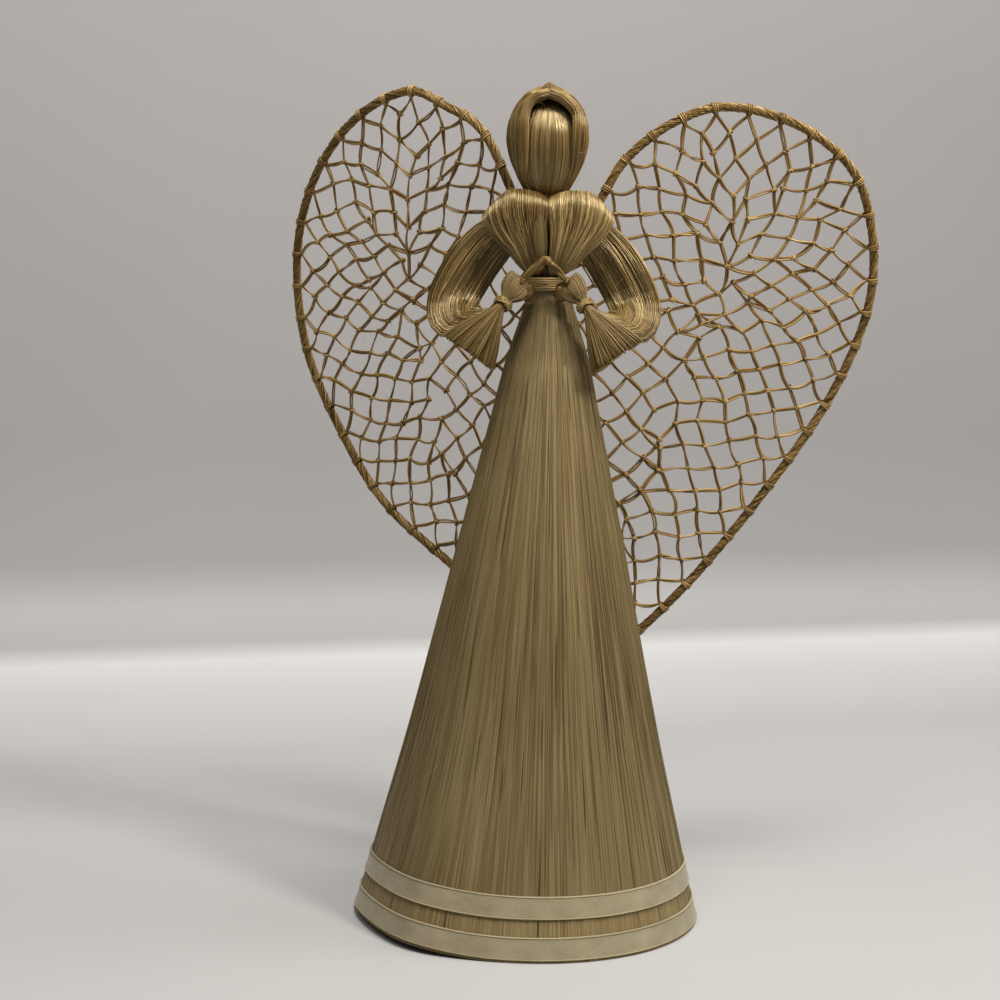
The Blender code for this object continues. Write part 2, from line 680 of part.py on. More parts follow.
def chest(word, side):
    """A bundle that leaves the collar, swells, rolls over the shoulder and returns down the back."""
    tail = (COLLAR_RADIUS - SKIRT_WALL - 2 * GAP - TAIL_RADIUS) / math.sqrt(2)
    half = CHEST_THICKNESS / 2
    foot = CHEST_FOOT_Z
    crown = WAIST_Z + CHEST_HEIGHT - half

    def section(inner, outer, y, z, thickness):
        centre = ((inner + outer) / 2 * side + CHEST_SHIFT * min(1, (z - foot) / (6 * MM)) if z > foot
                  else (inner + outer) / 2 * side, y, z)
        return (centre, (side * (outer - inner) / 2, 0, 0), thickness)

    cleft = CHEST_CLEFT
    wide = CHEST_HALF_WIDTH
    beside = NECK_RADIUS + THREAD + 3 * GAP + CHEST_SHIFT
    back = CHEST_BACK_DEPTH
    sections = [
        section(tail - TAIL_RADIUS, tail + TAIL_RADIUS, -tail, WAIST_Z, TAIL_RADIUS),
        section(tail - TAIL_RADIUS, tail + TAIL_RADIUS, -tail, foot + CHEST_LIP, TAIL_RADIUS),
        section(cleft, wide * 0.42, -CHEST_DEPTH * 0.74, foot + 4 * MM, half * 0.8),
        section(cleft, wide * 0.68, -CHEST_DEPTH, foot + 10.5 * MM, half * 0.95),
        section(cleft, wide * 0.9, -CHEST_DEPTH * 1.08, foot + 17 * MM, half),
        section(cleft, wide, -CHEST_DEPTH * 1.05, crown - 2.6 * MM, half),
        section(cleft + 0.6 * MM, wide * 0.95, -CHEST_DEPTH * 0.8, crown, half * 0.95),
        section(beside, wide * 0.95, -1.4 * MM, crown - 0.9 * MM, half * 0.75),
        section(beside, wide * 0.9, back, crown - 6.5 * MM, half * 0.6),
        section(TRUNK_RADIUS + 2 * GAP + CHEST_SHIFT, wide * 0.62, back, foot + 9 * MM, half * 0.55),
        section(tail - TAIL_RADIUS, tail + TAIL_RADIUS, tail, foot + CHEST_LIP, TAIL_RADIUS * 0.8),
        section(tail - TAIL_RADIUS, tail + TAIL_RADIUS, tail, WAIST_Z, TAIL_RADIUS * 0.8),
    ]
    bundle("chest_" + word, sections, GOLD_FIBRE, points=16, steps=1, relief=0.14)


def limb_frame(side):
    """The wrist's place, the direction in which the hand leaves it, and the way to the back across that."""
    wrist = Vector((side * WRIST_OUT, -WRIST_FRONT, WAIST_TIE_Z - WRIST_DROP))
    toward = Vector((-side * 0.58, 0.36, 0.75)).normalized()
    behind = (Vector((0, 1, 0)) - toward * toward.y).normalized()
    return wrist, toward, behind


def arm(word, side):
    """The ribbon of fibre from the shoulder round the elbow to the wrist tie."""
    wrist, toward, behind = limb_frame(side)
    half = ARM_THICKNESS / 2
    reach = ARM_REACH
    width = ARM_WIDTH / 2
    z = WAIST_TIE_Z
    tuck = wrist + toward * 1.6 * MM + behind * TIE_LAYER
    near = wrist - toward * 3 * MM + behind * (TIE_LAYER + 0.2 * MM)
    across = toward.cross(behind) * -side
    sections = [
        ((side * 11 * MM, -0.6 * MM, z + 18.5 * MM), (side * 0.1 * width, 0, 0.6 * width), half),
        ((side * 17.5 * MM, -0.8 * MM, z + 14.8 * MM), (side * 0.5 * width, -0.1 * width, 0.66 * width), half),
        ((side * (reach - 15.8 * MM), -1.4 * MM, z + 7 * MM), (side * 0.8 * width, -0.4 * width, 0.45 * width), half),
        ((side * (reach - 9.8 * MM), -3 * MM, z - 3.8 * MM), (side * 0.92 * width, -0.5 * width, 0.1 * width), half),
        ((side * (reach - 8.6 * MM), -6.8 * MM, z - ELBOW_DROP + 3 * MM),
         (side * 0.88 * width, -0.3 * width, 0.05 * width), half),
        ((side * (reach - 9 * MM), -11.6 * MM, z - ELBOW_DROP), (side * 0.78 * width, -0.1 * width, 0.2 * width), half),
        ((side * (reach - 13 * MM), -15 * MM, z - ELBOW_DROP + 1.6 * MM),
         (side * 0.42 * width, 0, 0.5 * width), half * 0.9),
        (near, across * TIE_LAYER_WIDTH * 1.4, TIE_LAYER_HALF * 1.3),
        (wrist + behind * TIE_LAYER, across * TIE_LAYER_WIDTH, TIE_LAYER_HALF),
        (tuck, across * TIE_LAYER_WIDTH, TIE_LAYER_HALF),
    ]
    bundle("arm_" + word, sections, GOLD_FIBRE, points=10, steps=2, relief=0.16)


def sleeve(word, side):
    """The flared cuff of cut fibre in front of the forearm."""
    wrist, toward, behind = limb_frame(side)
    front = Vector((0, -1, 0))
    down = Vector((side * 0.56, 0, -0.83)).normalized()
    spread = Vector((side * 0.93, 0, 0.36)).normalized()
    half = SLEEVE_THICKNESS / 2
    across = toward.cross(behind) * -side
    start = wrist + toward * 1.6 * MM - behind * TIE_LAYER
    tie = wrist - toward * 1.6 * MM - behind * TIE_LAYER
    sections = [
        (start, across * TIE_LAYER_WIDTH, TIE_LAYER_HALF),
        (tie, across * TIE_LAYER_WIDTH, TIE_LAYER_HALF),
        (wrist + down * SLEEVE_LENGTH * 0.42 + front * 2.8 * MM, spread * SLEEVE_WIDTH * 0.24, half * 0.7),
        (wrist + down * SLEEVE_LENGTH * 0.74 + front * 3.4 * MM, spread * SLEEVE_WIDTH * 0.40, half * 0.9),
        (wrist + down * SLEEVE_LENGTH + front * 3.6 * MM, spread * SLEEVE_WIDTH * 0.5, half),
    ]
    bundle("sleeve_" + word, sections, PALE_FIBRE, points=18, steps=1, relief=0.2)


def hand(word, side):
    """A flat mitten of pale fibre from the wrist tie to the waist."""
    wrist, toward, behind = limb_frame(side)
    across = Vector((side * 0.77, 0, 0.60)).normalized()
    half = HAND_THICKNESS / 2
    thin = TIE_LAYER - TIE_LAYER_HALF - GAP
    reach = HAND_LENGTH
    sections = [
        (wrist - toward * 1.6 * MM, across * HAND_WIDTH * 0.17, thin),
        (wrist + toward * 1.9 * MM, across * HAND_WIDTH * 0.2, thin),
        (wrist + toward * reach * 0.45, across * HAND_WIDTH * 0.44, half * 0.9),
        (wrist + toward * reach * 0.8, across * HAND_WIDTH * 0.5, half),
        (wrist + toward * reach, across * HAND_WIDTH * 0.38, half * 0.7),
    ]
    bundle("hand_" + word, sections, PALE_FIBRE, points=12, steps=1, relief=0.08)
    ring = circle(wrist, WRIST_TIE_RADIUS, toward, 9)
    wound_band("wrist_tie_" + word, ring, toward, WRIST_TURNS, PALE_FIBRE)


def strap():
    """The twisted strap between the hands: an inverted V over the foot of the chest."""
    sections = []
    count = 8
    for k in range(count + 1):
        share = 2 * k / count - 1
        x = share * STRAP_HALF_SPAN
        z = CHEST_FOOT_Z - 1.2 * MM + STRAP_RISE * (1 - abs(share) ** 1.3)
        y = -CHEST_DEPTH * 0.88 - CHEST_THICKNESS * 0.45 - GAP - STRAP_RADIUS - 2.2 * MM * share * share
        twist = share * 2.4
        flat = Vector((0, math.cos(twist), math.sin(twist))) * STRAP_RADIUS
        sections.append(((x, y, z), flat, STRAP_RADIUS * 0.62))
    bundle("hand_strap", sections, PALE_FIBRE, points=8, steps=1, relief=0.1)


def glue_bead(word, side):
    """A bead of glue between a hand and the waist thread."""
    bearing = math.radians(-90 + side * 40)
    away = TIE_OUTER + GAP + GLUE_RADIUS
    bm = bmesh.new()
    bmesh.ops.create_uvsphere(bm, u_segments=7, v_segments=5, radius=GLUE_RADIUS)
    place = Vector((away * math.cos(bearing), away * math.sin(bearing), WAIST_TIE_Z - 1.2 * MM))
    bmesh.ops.translate(bm, verts=bm.verts, vec=place)
    solid("glue_bead_" + word, bm, GLUE)


def centre_on_origin():
    """Moves every object so that the origin lies under the middle of the part's box, at its foot."""
    bpy.context.view_layer.update()
    graph = bpy.context.evaluated_depsgraph_get()
    spots = []
    for obj in PARTS.objects:
        evaluated = obj.evaluated_get(graph)
        spots += [obj.matrix_world @ vertex.co for vertex in evaluated.to_mesh().vertices]
        evaluated.to_mesh_clear()
    low = Vector([min(spot[axis] for spot in spots) for axis in range(3)])
    high = Vector([max(spot[axis] for spot in spots) for axis in range(3)])
    for obj in list(PARTS.objects) + list(CUTTERS.objects):
        obj.location -= Vector(((low.x + high.x) / 2, (low.y + high.y) / 2, low.z))


def build():
    skirt()
    low = RIBBON_HEM_MARGIN
    ribbon("ribbon_lower", low)
    ribbon("ribbon_upper", low + RIBBON_WIDTH + RIBBON_SPACING)
    head_bundle()
    hair_hood()
    ties()
    for word, side in (("left", -1), ("right", 1)):
        chest(word, side)
        arm(word, side)
        sleeve(word, side)
        hand(word, side)
        glue_bead(word, side)
    strap()
    wing("left", -1, LEFT_OUTLINE, LEFT_SPINE, LEFT_SWEEP)
    wing("right", 1, RIGHT_OUTLINE, RIGHT_SPINE, RIGHT_SWEEP)
    centre_on_origin()


build()
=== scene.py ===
"""Looks of the standing fibre angel: combed bundles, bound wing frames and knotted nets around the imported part.

Lengths are in metres. Places are written in millimetres from the figure's own axis, +X to a viewer's right,
-Y to the front and +Z up from the table, and shifted onto the frame by at().
"""

import math

import bpy
import numpy as np
from mathutils import Matrix, Vector


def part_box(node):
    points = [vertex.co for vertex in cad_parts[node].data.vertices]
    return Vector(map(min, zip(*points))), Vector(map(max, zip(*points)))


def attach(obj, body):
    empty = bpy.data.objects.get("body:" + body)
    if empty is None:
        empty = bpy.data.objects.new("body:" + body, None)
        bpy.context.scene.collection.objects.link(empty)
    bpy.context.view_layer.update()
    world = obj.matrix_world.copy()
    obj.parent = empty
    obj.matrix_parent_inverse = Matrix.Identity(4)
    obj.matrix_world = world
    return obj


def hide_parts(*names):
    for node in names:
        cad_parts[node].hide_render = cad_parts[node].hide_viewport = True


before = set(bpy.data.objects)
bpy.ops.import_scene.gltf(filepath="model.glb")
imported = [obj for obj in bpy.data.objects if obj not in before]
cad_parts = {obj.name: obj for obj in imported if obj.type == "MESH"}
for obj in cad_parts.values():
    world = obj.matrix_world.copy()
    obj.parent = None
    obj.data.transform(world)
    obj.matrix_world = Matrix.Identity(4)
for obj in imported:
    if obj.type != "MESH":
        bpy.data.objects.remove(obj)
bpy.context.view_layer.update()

MM = 0.001
NECK_LOW, NECK_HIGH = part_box("neck_tie")
AXIS = (NECK_LOW + NECK_HIGH) / 2
AXIS.z = 0
NECK = (NECK_LOW.z + NECK_HIGH.z) / 2 / MM
WAIST_LOW, WAIST_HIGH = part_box("waist_tie")
WAIST = (WAIST_LOW.z + WAIST_HIGH.z) / 2 / MM

# Camera: measured from the photograph's perspective, in millimetres from the axis.
CAMERA_PLACE = (-13.2, -750, 225)
CAMERA_PITCH = math.radians(6.1)
CAMERA_ROLL = math.radians(1.4)
CAMERA_FOCAL_PIXELS = 2183
PICTURE_PIXELS = 1000
SENSOR = 36

# Fibre coordinates: how wide one side of a strand counts, and how far strands are spread over the texture.
STRAND_SPAN = 0.0003
TONE_SPAN = 0.2

SEED = 12
rng = np.random.default_rng(SEED)


def at(points):
    """Millimetres from the figure's axis as metres in the frame."""
    return np.asarray(points, float) * MM + np.array([AXIS.x, AXIS.y, 0])


def unit(vectors):
    """Vectors of length one."""
    return vectors / np.maximum(np.linalg.norm(vectors, axis=-1, keepdims=True), 1e-12)


def around(count):
    """count angles spread evenly round a circle, as a column."""
    return np.linspace(0, 2 * np.pi, count, endpoint=False)[:, None]


def any_angle(count):
    """count random angles, as a column."""
    return rng.uniform(0, 2 * np.pi, (count, 1))


def distances(paths):
    """How far along its path each point lies, from 0 at its start."""
    runs = np.linalg.norm(np.diff(paths, axis=-2), axis=-1)
    return np.concatenate([np.zeros((*runs.shape[:-1], 1)), np.cumsum(runs, axis=-1)], axis=-1)


def smooth_path(points, count, closed=False):
    """count points, evenly spaced in spans, on the smooth curve through points."""
    points = np.asarray(points, float)
    spans = len(points) if closed else len(points) - 1
    t = np.linspace(0, spans, count, endpoint=not closed)
    span = np.minimum(t.astype(int), spans - 1)
    f = (t - span)[:, None]

    def near(step):
        index = span + step
        return points[index % len(points)] if closed else points[np.clip(index, 0, len(points) - 1)]

    a, b, c, d = near(-1), near(0), near(1), near(2)
    return 0.5 * (2 * b + (c - a) * f + (2 * a - 5 * b + 4 * c - d) * f ** 2 + (3 * b - a - 3 * c + d) * f ** 3)


def even_loop(points, count):
    """count points on the smooth closed curve through points, evenly spaced along its length."""
    fine = smooth_path(points, 40 * len(points), True)
    fine = np.vstack([fine, fine[:1]])
    walked = distances(fine)
    wanted = np.linspace(0, walked[-1], count, endpoint=False)
    return np.stack([np.interp(wanted, walked, fine[:, k]) for k in range(fine.shape[1])], axis=1)


def wander(count, steps, bumps, amount):
    """Smooth random offsets, count rows of steps values, that swing to and fro about bumps times."""
    knots = rng.normal(0, amount, (count, bumps + 2))
    t = np.linspace(0, bumps + 1, steps)
    low = np.minimum(t.astype(int), bumps)
    f = t - low
    f = f * f * (3 - 2 * f)
    return knots[:, low] * (1 - f) + knots[:, low + 1] * f


def girths(thick, count, least=0.7, most=1.25):
    """Uneven radii for count strands of about thick millimetres, as a column in metres."""
    return thick * MM * rng.uniform(least, most, (count, 1))


def shown(name, data):
    """A new object in the scene for a mesh, lamp or camera."""
    obj = bpy.data.objects.new(name, data)
    bpy.context.scene.collection.objects.link(obj)
    return obj


class Heap:
    """Gathers surfaces and strands for one piece. Fibre coordinates are (along, across) in metres."""

    def __init__(self):
        self.spots = []
        self.lines = []
        self.faces = []
        self.slots = []
        self.count = 0

    def add(self, spots, lines, faces, slot):
        """Adds points, their fibre coordinates, and quads over those points in one material slot."""
        spots = np.asarray(spots, float).reshape(-1, 3)
        self.spots.append(spots)
        self.lines.append(np.asarray(lines, float).reshape(-1, 2))
        self.faces.append(np.asarray(faces, int).reshape(-1, 4) + self.count)
        self.slots.append(np.full(len(self.faces[-1]), slot))
        self.count += len(spots)

    def surface(self, grid, along, across, slot=0, wrap=False):
        """A sheet of quads over a grid of points; wrap joins the last row to the first."""
        rows, columns = grid.shape[:2]
        index = np.arange(rows * columns).reshape(rows, columns)
        if wrap:
            index = np.vstack([index, index[:1]])
        quads = np.stack([index[:-1, :-1], index[1:, :-1], index[1:, 1:], index[:-1, 1:]], axis=-1)
        lines = np.stack(np.broadcast_arrays(along, across), axis=-1)
        self.add(grid, lines, quads, slot)

    def strands(self, paths, outward, radius, sides=3, slot=0):
        """Thin tubes along paths (strand, point, xyz); outward is roughly across each path."""
        count, steps = paths.shape[:2]
        tangent = unit(np.gradient(paths, axis=1))
        first = unit(outward - tangent * np.sum(outward * tangent, axis=-1, keepdims=True))
        second = np.cross(tangent, first)
        turn = (2 * np.pi * np.arange(sides) / sides)[:, None]
        reach = np.broadcast_to(radius, (count, steps))[:, :, None, None]
        ring = first[:, :, None] * np.cos(turn) + second[:, :, None] * np.sin(turn)
        spots = paths[:, :, None] + ring * reach
        index = np.arange(count * steps * sides).reshape(count, steps, sides)
        after = np.roll(index, -1, axis=2)
        quads = np.stack([index[:, :-1], after[:, :-1], after[:, 1:], index[:, 1:]], axis=-1)
        across = rng.uniform(0, TONE_SPAN, count)[:, None, None] + STRAND_SPAN * np.arange(sides)
        lines = np.stack(np.broadcast_arrays(distances(paths)[:, :, None], across), axis=-1)
        self.add(spots, lines, quads, slot)

    def piece(self, name, materials, *nodes):
        """The one object, which rides on the figure and stands for its CAD nodes."""
        spots = np.concatenate(self.spots)
        faces = np.concatenate(self.faces)
        mesh = bpy.data.meshes.new(name)
        mesh.from_pydata(spots.tolist(), [], faces.tolist())
        for finish in materials:
            mesh.materials.append(finish)
        mesh.polygons.foreach_set("material_index", np.concatenate(self.slots).astype(np.int32))
        corners = np.empty(len(mesh.loops), np.int32)
        mesh.loops.foreach_get("vertex_index", corners)
        layer = mesh.uv_layers.new(name="fibre")
        layer.uv.foreach_set("vector", np.concatenate(self.lines)[corners].astype(np.float32).ravel())
        mesh.shade_smooth()
        obj = shown(name, mesh)
        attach(obj, "root")
        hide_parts(*nodes)


# Materials

def tree_of(name):
    """A new material with its node tree and Principled shader."""
    made = bpy.data.materials.new(name)
    made.use_nodes = True
    return made, made.node_tree, made.node_tree.nodes["Principled BSDF"]


def put(node, values):
    """Sets a node's sockets, by name, to plain values."""
    for name, value in values.items():
        node.inputs[name].default_value = value


def noise(tree, coordinates, scale, detail=3, rough=0.55):
    """A noise texture of the coordinates stretched by scale."""
    mapping = tree.nodes.new("ShaderNodeMapping")
    put(mapping, {"Scale": scale})
    tree.links.new(coordinates, mapping.inputs["Vector"])
    made = tree.nodes.new("ShaderNodeTexNoise")
    put(made, {"Scale": 1, "Detail": detail, "Roughness": rough})
    tree.links.new(mapping.outputs["Vector"], made.inputs["Vector"])
    return made.outputs["Fac"]


def ramp(tree, value, stops):
    """A colour ramp over (position, colour) stops, with colours as (r, g, b)."""
    made = tree.nodes.new("ShaderNodeValToRGB")
    while len(made.color_ramp.elements) < len(stops):
        made.color_ramp.elements.new(0.5)
    for element, (position, colour) in zip(made.color_ramp.elements, stops):
        element.position = position
        element.color = (*colour, 1)
    tree.links.new(value, made.inputs["Fac"])
    return made.outputs["Color"]


def blend(tree, first, second, share, mode="MIX"):
    """Two colours mixed, or multiplied, by a share that is a number or a socket."""
    made = tree.nodes.new("ShaderNodeMix")
    made.data_type = "RGBA"
    made.blend_type = mode
    for name, value in (("A", first), ("B", second)):
        socket = next(s for s in made.inputs if s.name == name and s.type == "RGBA")
        if isinstance(value, tuple):
            socket.default_value = (*value, 1)
        else:
            tree.links.new(value, socket)
    if isinstance(share, float):
        made.inputs["Factor"].default_value = share
    else:
        tree.links.new(share, made.inputs["Factor"])
    return next(s for s in made.outputs if s.type == "RGBA")


def shaded(tree, colour, shade):
    """A colour multiplied by another."""
    return blend(tree, colour, shade, 1.0, "MULTIPLY")


def grey(value):
    """A grey of that level."""
    return (value, value, value)


def bump(tree, shader, height, strength, distance):
    """Relief from a height socket."""
    made = tree.nodes.new("ShaderNodeBump")
    put(made, {"Strength": strength, "Distance": distance})
    tree.links.new(height, made.inputs["Height"])
    tree.links.new(made.outputs["Normal"], shader.inputs["Normal"])


def fibre_lines(tree):
    """The fibre map of a piece: along the fibres in X and across them in Y, in metres."""
    lines = tree.nodes.new("ShaderNodeUVMap")
    lines.uv_map = "fibre"
    return lines.outputs["UV"]


# The tint of the shine on fibre and glue.
WARM_SHINE = (1.0, 0.8, 0.45, 1)


def combed(name, dark, middle, light, rough, relief=0.5, slits=0.0, fine=2400, locks=1.0, shine=0.5,
           spread=(0.38, 0.5, 0.63), gloss=1.5):
    """Laid or combed fibre: hair-fine lines, broader locks, and thin slits painted dark as shade where slits is
    above 0.

    The three colours meet where spread says. rough is the roughness of the light and of the dark fibres.
    """
    made, tree, shader = tree_of(name)
    lines = fibre_lines(tree)
    hair = noise(tree, lines, (22, fine, 1), 2, 0.6)
    lock = noise(tree, lines, (9, 260, 1), 3, 0.6)
    patch = noise(tree, lines, (14, 45, 1), 2, 0.5)
    colour = ramp(tree, hair, list(zip(spread, (dark, middle, light))))
    shade = ramp(tree, lock, [(0.32, grey(1 - 0.38 * locks)), (0.5, grey(1 - 0.08 * locks)),
                              (0.7, grey(1 + 0.15 * locks))])
    colour = shaded(tree, colour, shade)
    tint = ramp(tree, patch, [(0.35, (0.86, 0.80, 0.72)), (0.65, (1.08, 1.06, 1.0))])
    colour = shaded(tree, colour, tint)
    # Slits: thin dashes painted dark, the painted shade of gaps between fibres.
    if slits:
        gaps = noise(tree, lines, (16, 950, 1), 1, 0.4)
        cut = ramp(tree, gaps, [(slits - 0.025, grey(0.0)), (slits, grey(1.0))])
        slit_painted_shade = tuple(0.45 * channel for channel in dark)
        colour = blend(tree, slit_painted_shade, colour, cut)
    tree.links.new(colour, shader.inputs["Base Color"])
    tree.links.new(ramp(tree, hair, [(0.3, grey(rough[1])), (0.7, grey(rough[0]))]), shader.inputs["Roughness"])
    put(shader, {"Specular IOR Level": shine, "IOR": gloss, "Specular Tint": WARM_SHINE,
                 "Anisotropic": 0.7, "Anisotropic Rotation": 0.25})
    grain = tree.nodes.new("ShaderNodeTangent")
    grain.direction_type = "UV_MAP"
    grain.uv_map = "fibre"
    tree.links.new(grain.outputs["Tangent"], shader.inputs["Tangent"])
    if relief:
        bump(tree, shader, hair, relief, 0.0003)
    return made


def toned_by_height(made, levels):
    """Darkens or lightens a finish's colour by (height in metres, share) levels."""
    tree = made.node_tree
    socket = tree.nodes["Principled BSDF"].inputs["Base Color"]
    place = tree.nodes.new("ShaderNodeTexCoord").outputs["Object"]
    level = tree.nodes.new("ShaderNodeSeparateXYZ")
    tree.links.new(place, level.inputs["Vector"])
    shade = ramp(tree, level.outputs["Z"], [(height, grey(share)) for height, share in levels])
    tree.links.new(shaded(tree, socket.links[0].from_socket, shade), socket)


# The chest's gold fibre in two copies: the left one darker, as painted shade, and the right one lighter, as
# painted light.
GOLD_PAINTED_SHADE_LEFT = combed("gold_strands_left_painted_shade", (0.026, 0.011, 0.002), (0.115, 0.063, 0.016), (0.4, 0.28, 0.105),
                   (0.4, 0.55), shine=1.0, gloss=1.7)
GOLD_PAINTED_LIGHT_RIGHT = combed("gold_strands_right_painted_light", (0.055, 0.029, 0.008), (0.25, 0.165, 0.057), (0.56, 0.43, 0.195),
                    (0.4, 0.55), shine=1.0, gloss=1.7)
HAIR = combed("hair_strands", (0.027, 0.012, 0.003), (0.145, 0.084, 0.024), (0.36, 0.245, 0.092),
              (0.4, 0.55), shine=0.95, gloss=1.6)
FACE = combed("face_strands", (0.06, 0.032, 0.009), (0.115, 0.07, 0.02), (0.22, 0.15, 0.057),
              (0.34, 0.44), relief=0.7, shine=1.0, gloss=1.75)
ARM = combed("arm_strands", (0.02, 0.009, 0.002), (0.08, 0.044, 0.011), (0.46, 0.32, 0.125),
             (0.38, 0.52), shine=1.0, gloss=1.6)
PALE = combed("pale_strands", (0.06, 0.037, 0.013), (0.15, 0.1, 0.038), (0.27, 0.193, 0.086),
              (0.42, 0.56), locks=0.5)
HAND = combed("hand_fibre", (0.085, 0.054, 0.019), (0.145, 0.1, 0.04), (0.23, 0.168, 0.078),
              (0.45, 0.6), relief=0.6)
# The bundle core's dark tones are painted shade: the shade inside bundles and between their strands.
PAINTED_SHADE_CORE = combed("bundle_inside_painted_shade", (0.018, 0.009, 0.002), (0.05, 0.028, 0.008), (0.09, 0.055, 0.019),
              (0.6, 0.8), shine=0.3)
THREAD = combed("thread", (0.12, 0.074, 0.025), (0.29, 0.2, 0.08), (0.47, 0.355, 0.165), (0.38, 0.55))
THREAD_BROWN = combed("strap_fibre", (0.05, 0.026, 0.007), (0.18, 0.11, 0.036), (0.34, 0.235, 0.1), (0.3, 0.5))
TWINE = combed("twine", (0.07, 0.035, 0.008), (0.265, 0.162, 0.055), (0.5, 0.35, 0.155), (0.38, 0.55))
BOUND = combed("frame_binding", (0.055, 0.028, 0.006), (0.27, 0.165, 0.053), (0.54, 0.385, 0.165), (0.32, 0.5))
SKIRT = combed("skirt_fibre_laid", (0.12, 0.083, 0.036), (0.19, 0.144, 0.07), (0.275, 0.22, 0.117),
               (0.45, 0.6), relief=0.3, slits=0.335, fine=4200, locks=0.12, spread=(0.3, 0.5, 0.7))
toned_by_height(SKIRT, [(0.0, 0.98), (0.012, 0.98), (0.022, 0.76), (0.09, 0.86), (0.17, 1.1), (0.205, 0.93)])
WHISKER = combed("loose_fibres", (0.2, 0.14, 0.055), (0.36, 0.27, 0.12), (0.5, 0.4, 0.2),
                 (0.35, 0.5), relief=0)
SELVEDGE = combed("selvedge", (0.28, 0.235, 0.14), (0.36, 0.305, 0.185), (0.43, 0.37, 0.24),
                  (0.7, 0.85), relief=0.4)


def ribbon_cloth():
    """Flat woven ribbon: a fine plain weave, slight staining and paler selvedges."""
    made, tree, shader = tree_of("ribbon_weave")
    lines = fibre_lines(tree)
    weave = noise(tree, lines, (3200, 3200, 1), 1, 0.5)
    stain = noise(tree, lines, (90, 140, 1), 4, 0.6)
    threads = noise(tree, lines, (60, 3600, 1), 2, 0.5)
    colour = ramp(tree, stain, [(0.3, (0.2, 0.166, 0.096)), (0.6, (0.262, 0.22, 0.132)),
                                (0.8, (0.31, 0.266, 0.166))])
    fleck = ramp(tree, weave, [(0.35, grey(0.86)), (0.65, grey(1.08))])
    colour = shaded(tree, colour, fleck)
    tree.links.new(colour, shader.inputs["Base Color"])
    put(shader, {"Roughness": 0.8, "Sheen Weight": 0.15})
    bump(tree, shader, blend(tree, threads, weave, 0.5), 0.35, 0.00015)
    return made


def glue_finish():
    """Dried brown glue, glossy and uneven."""
    made, tree, shader = tree_of("dried_glue")
    place = tree.nodes.new("ShaderNodeTexCoord").outputs["Object"]
    patches = noise(tree, place, (700, 700, 700))
    colour = ramp(tree, patches, [(0.35, (0.03, 0.012, 0.003)), (0.65, (0.12, 0.062, 0.018))])
    tree.links.new(colour, shader.inputs["Base Color"])
    put(shader, {"Roughness": 0.4, "Specular Tint": WARM_SHINE})
    bump(tree, shader, noise(tree, place, (1500, 1500, 1500)), 0.4, 0.0004)
    return made


RIBBON = ribbon_cloth()
GLUE = glue_finish()


# Bundles

# A bundle's core, painted dark as the shade between its strands: its points round, and metres of fibre coordinate
# for each radian. A bow is felt in full on the outer half of a bundle and by the share INNER_BOW on the inner
# half.
CORE_SIDES = 25
CORE_ROUND = 0.005
INNER_BOW = 0.2


def bundle_frame(sections, steps):
    """Centre, half width, half thickness and bow along a bundle, from sections that hold them in that order."""
    centres = smooth_path(at([s[0] for s in sections]), steps)
    widths = smooth_path(np.array([s[1] for s in sections], float) * MM, steps)
    depths = smooth_path(np.array([[s[2]] for s in sections], float) * MM, steps)
    bows = smooth_path(np.array([s[3] if len(s) > 3 else (0, 0, 0) for s in sections], float) * MM, steps)
    tangent = unit(np.gradient(centres, axis=0))
    widths = widths - tangent * np.sum(widths * tangent, axis=1, keepdims=True)
    across = unit(np.cross(tangent, widths)) * depths
    return centres, widths, across, bows


def bundle(heap, sections, count, steps, thick, core=0.9, ragged=0.0, layers=(0.93, 1.04), slot=0, core_slot=1,
           loose=0.25, locks=16):
    """A combed bundle: count strands that lie in locks round a core painted dark as the shade between them.

    core and layers are depths as shares of the bundle's own. ragged cuts its far end unevenly, in millimetres.
    """
    centres, widths, across, bows = bundle_frame(sections, steps)
    turn = np.linspace(0, 2 * np.pi, CORE_SIDES)[:, None]

    def place(angle, depth):
        wide = (np.cos(angle) * depth)[..., None]
        deep = (np.sin(angle) * depth)[..., None]
        return centres + widths * wide + across * deep + bows * wide ** 2 * np.where(wide > 0, 1, INNER_BOW)

    # The core surface, in painted shade.
    heap.surface(place(turn + np.zeros((1, steps)), np.full((CORE_SIDES, steps), core)),
                 np.arange(steps)[None] * MM, turn * CORE_ROUND, core_slot)
    angle = any_angle(count)
    lock = np.floor(angle / (2 * np.pi) * locks).astype(int)
    proud = rng.normal(0, 0.025, locks)[lock] - 0.05 * np.abs(angle / (2 * np.pi) * locks - lock - 0.5)
    angle = angle + wander(count, steps, 3, loose * 0.12)
    depth = rng.uniform(*layers, (count, 1)) + proud + wander(count, steps, 2, loose * 0.05)
    paths = place(angle, depth)
    outward = paths - centres
    if ragged:
        paths = trimmed(paths, ragged)
    radius = girths(thick, count) * np.ones((1, steps))
    radius[:, [0, -1]] *= 0.6
    heap.strands(paths, outward, radius, slot=slot)


def trimmed(paths, ragged):
    """Paths with their far ends moved by about ragged millimetres along themselves."""
    reach = unit(paths[:, -1] - paths[:, -3]) * rng.normal(0, ragged * MM, (len(paths), 1))
    ease = np.linspace(0, 1, paths.shape[1])[None, :, None] ** 6
    return paths + reach[:, None] * ease


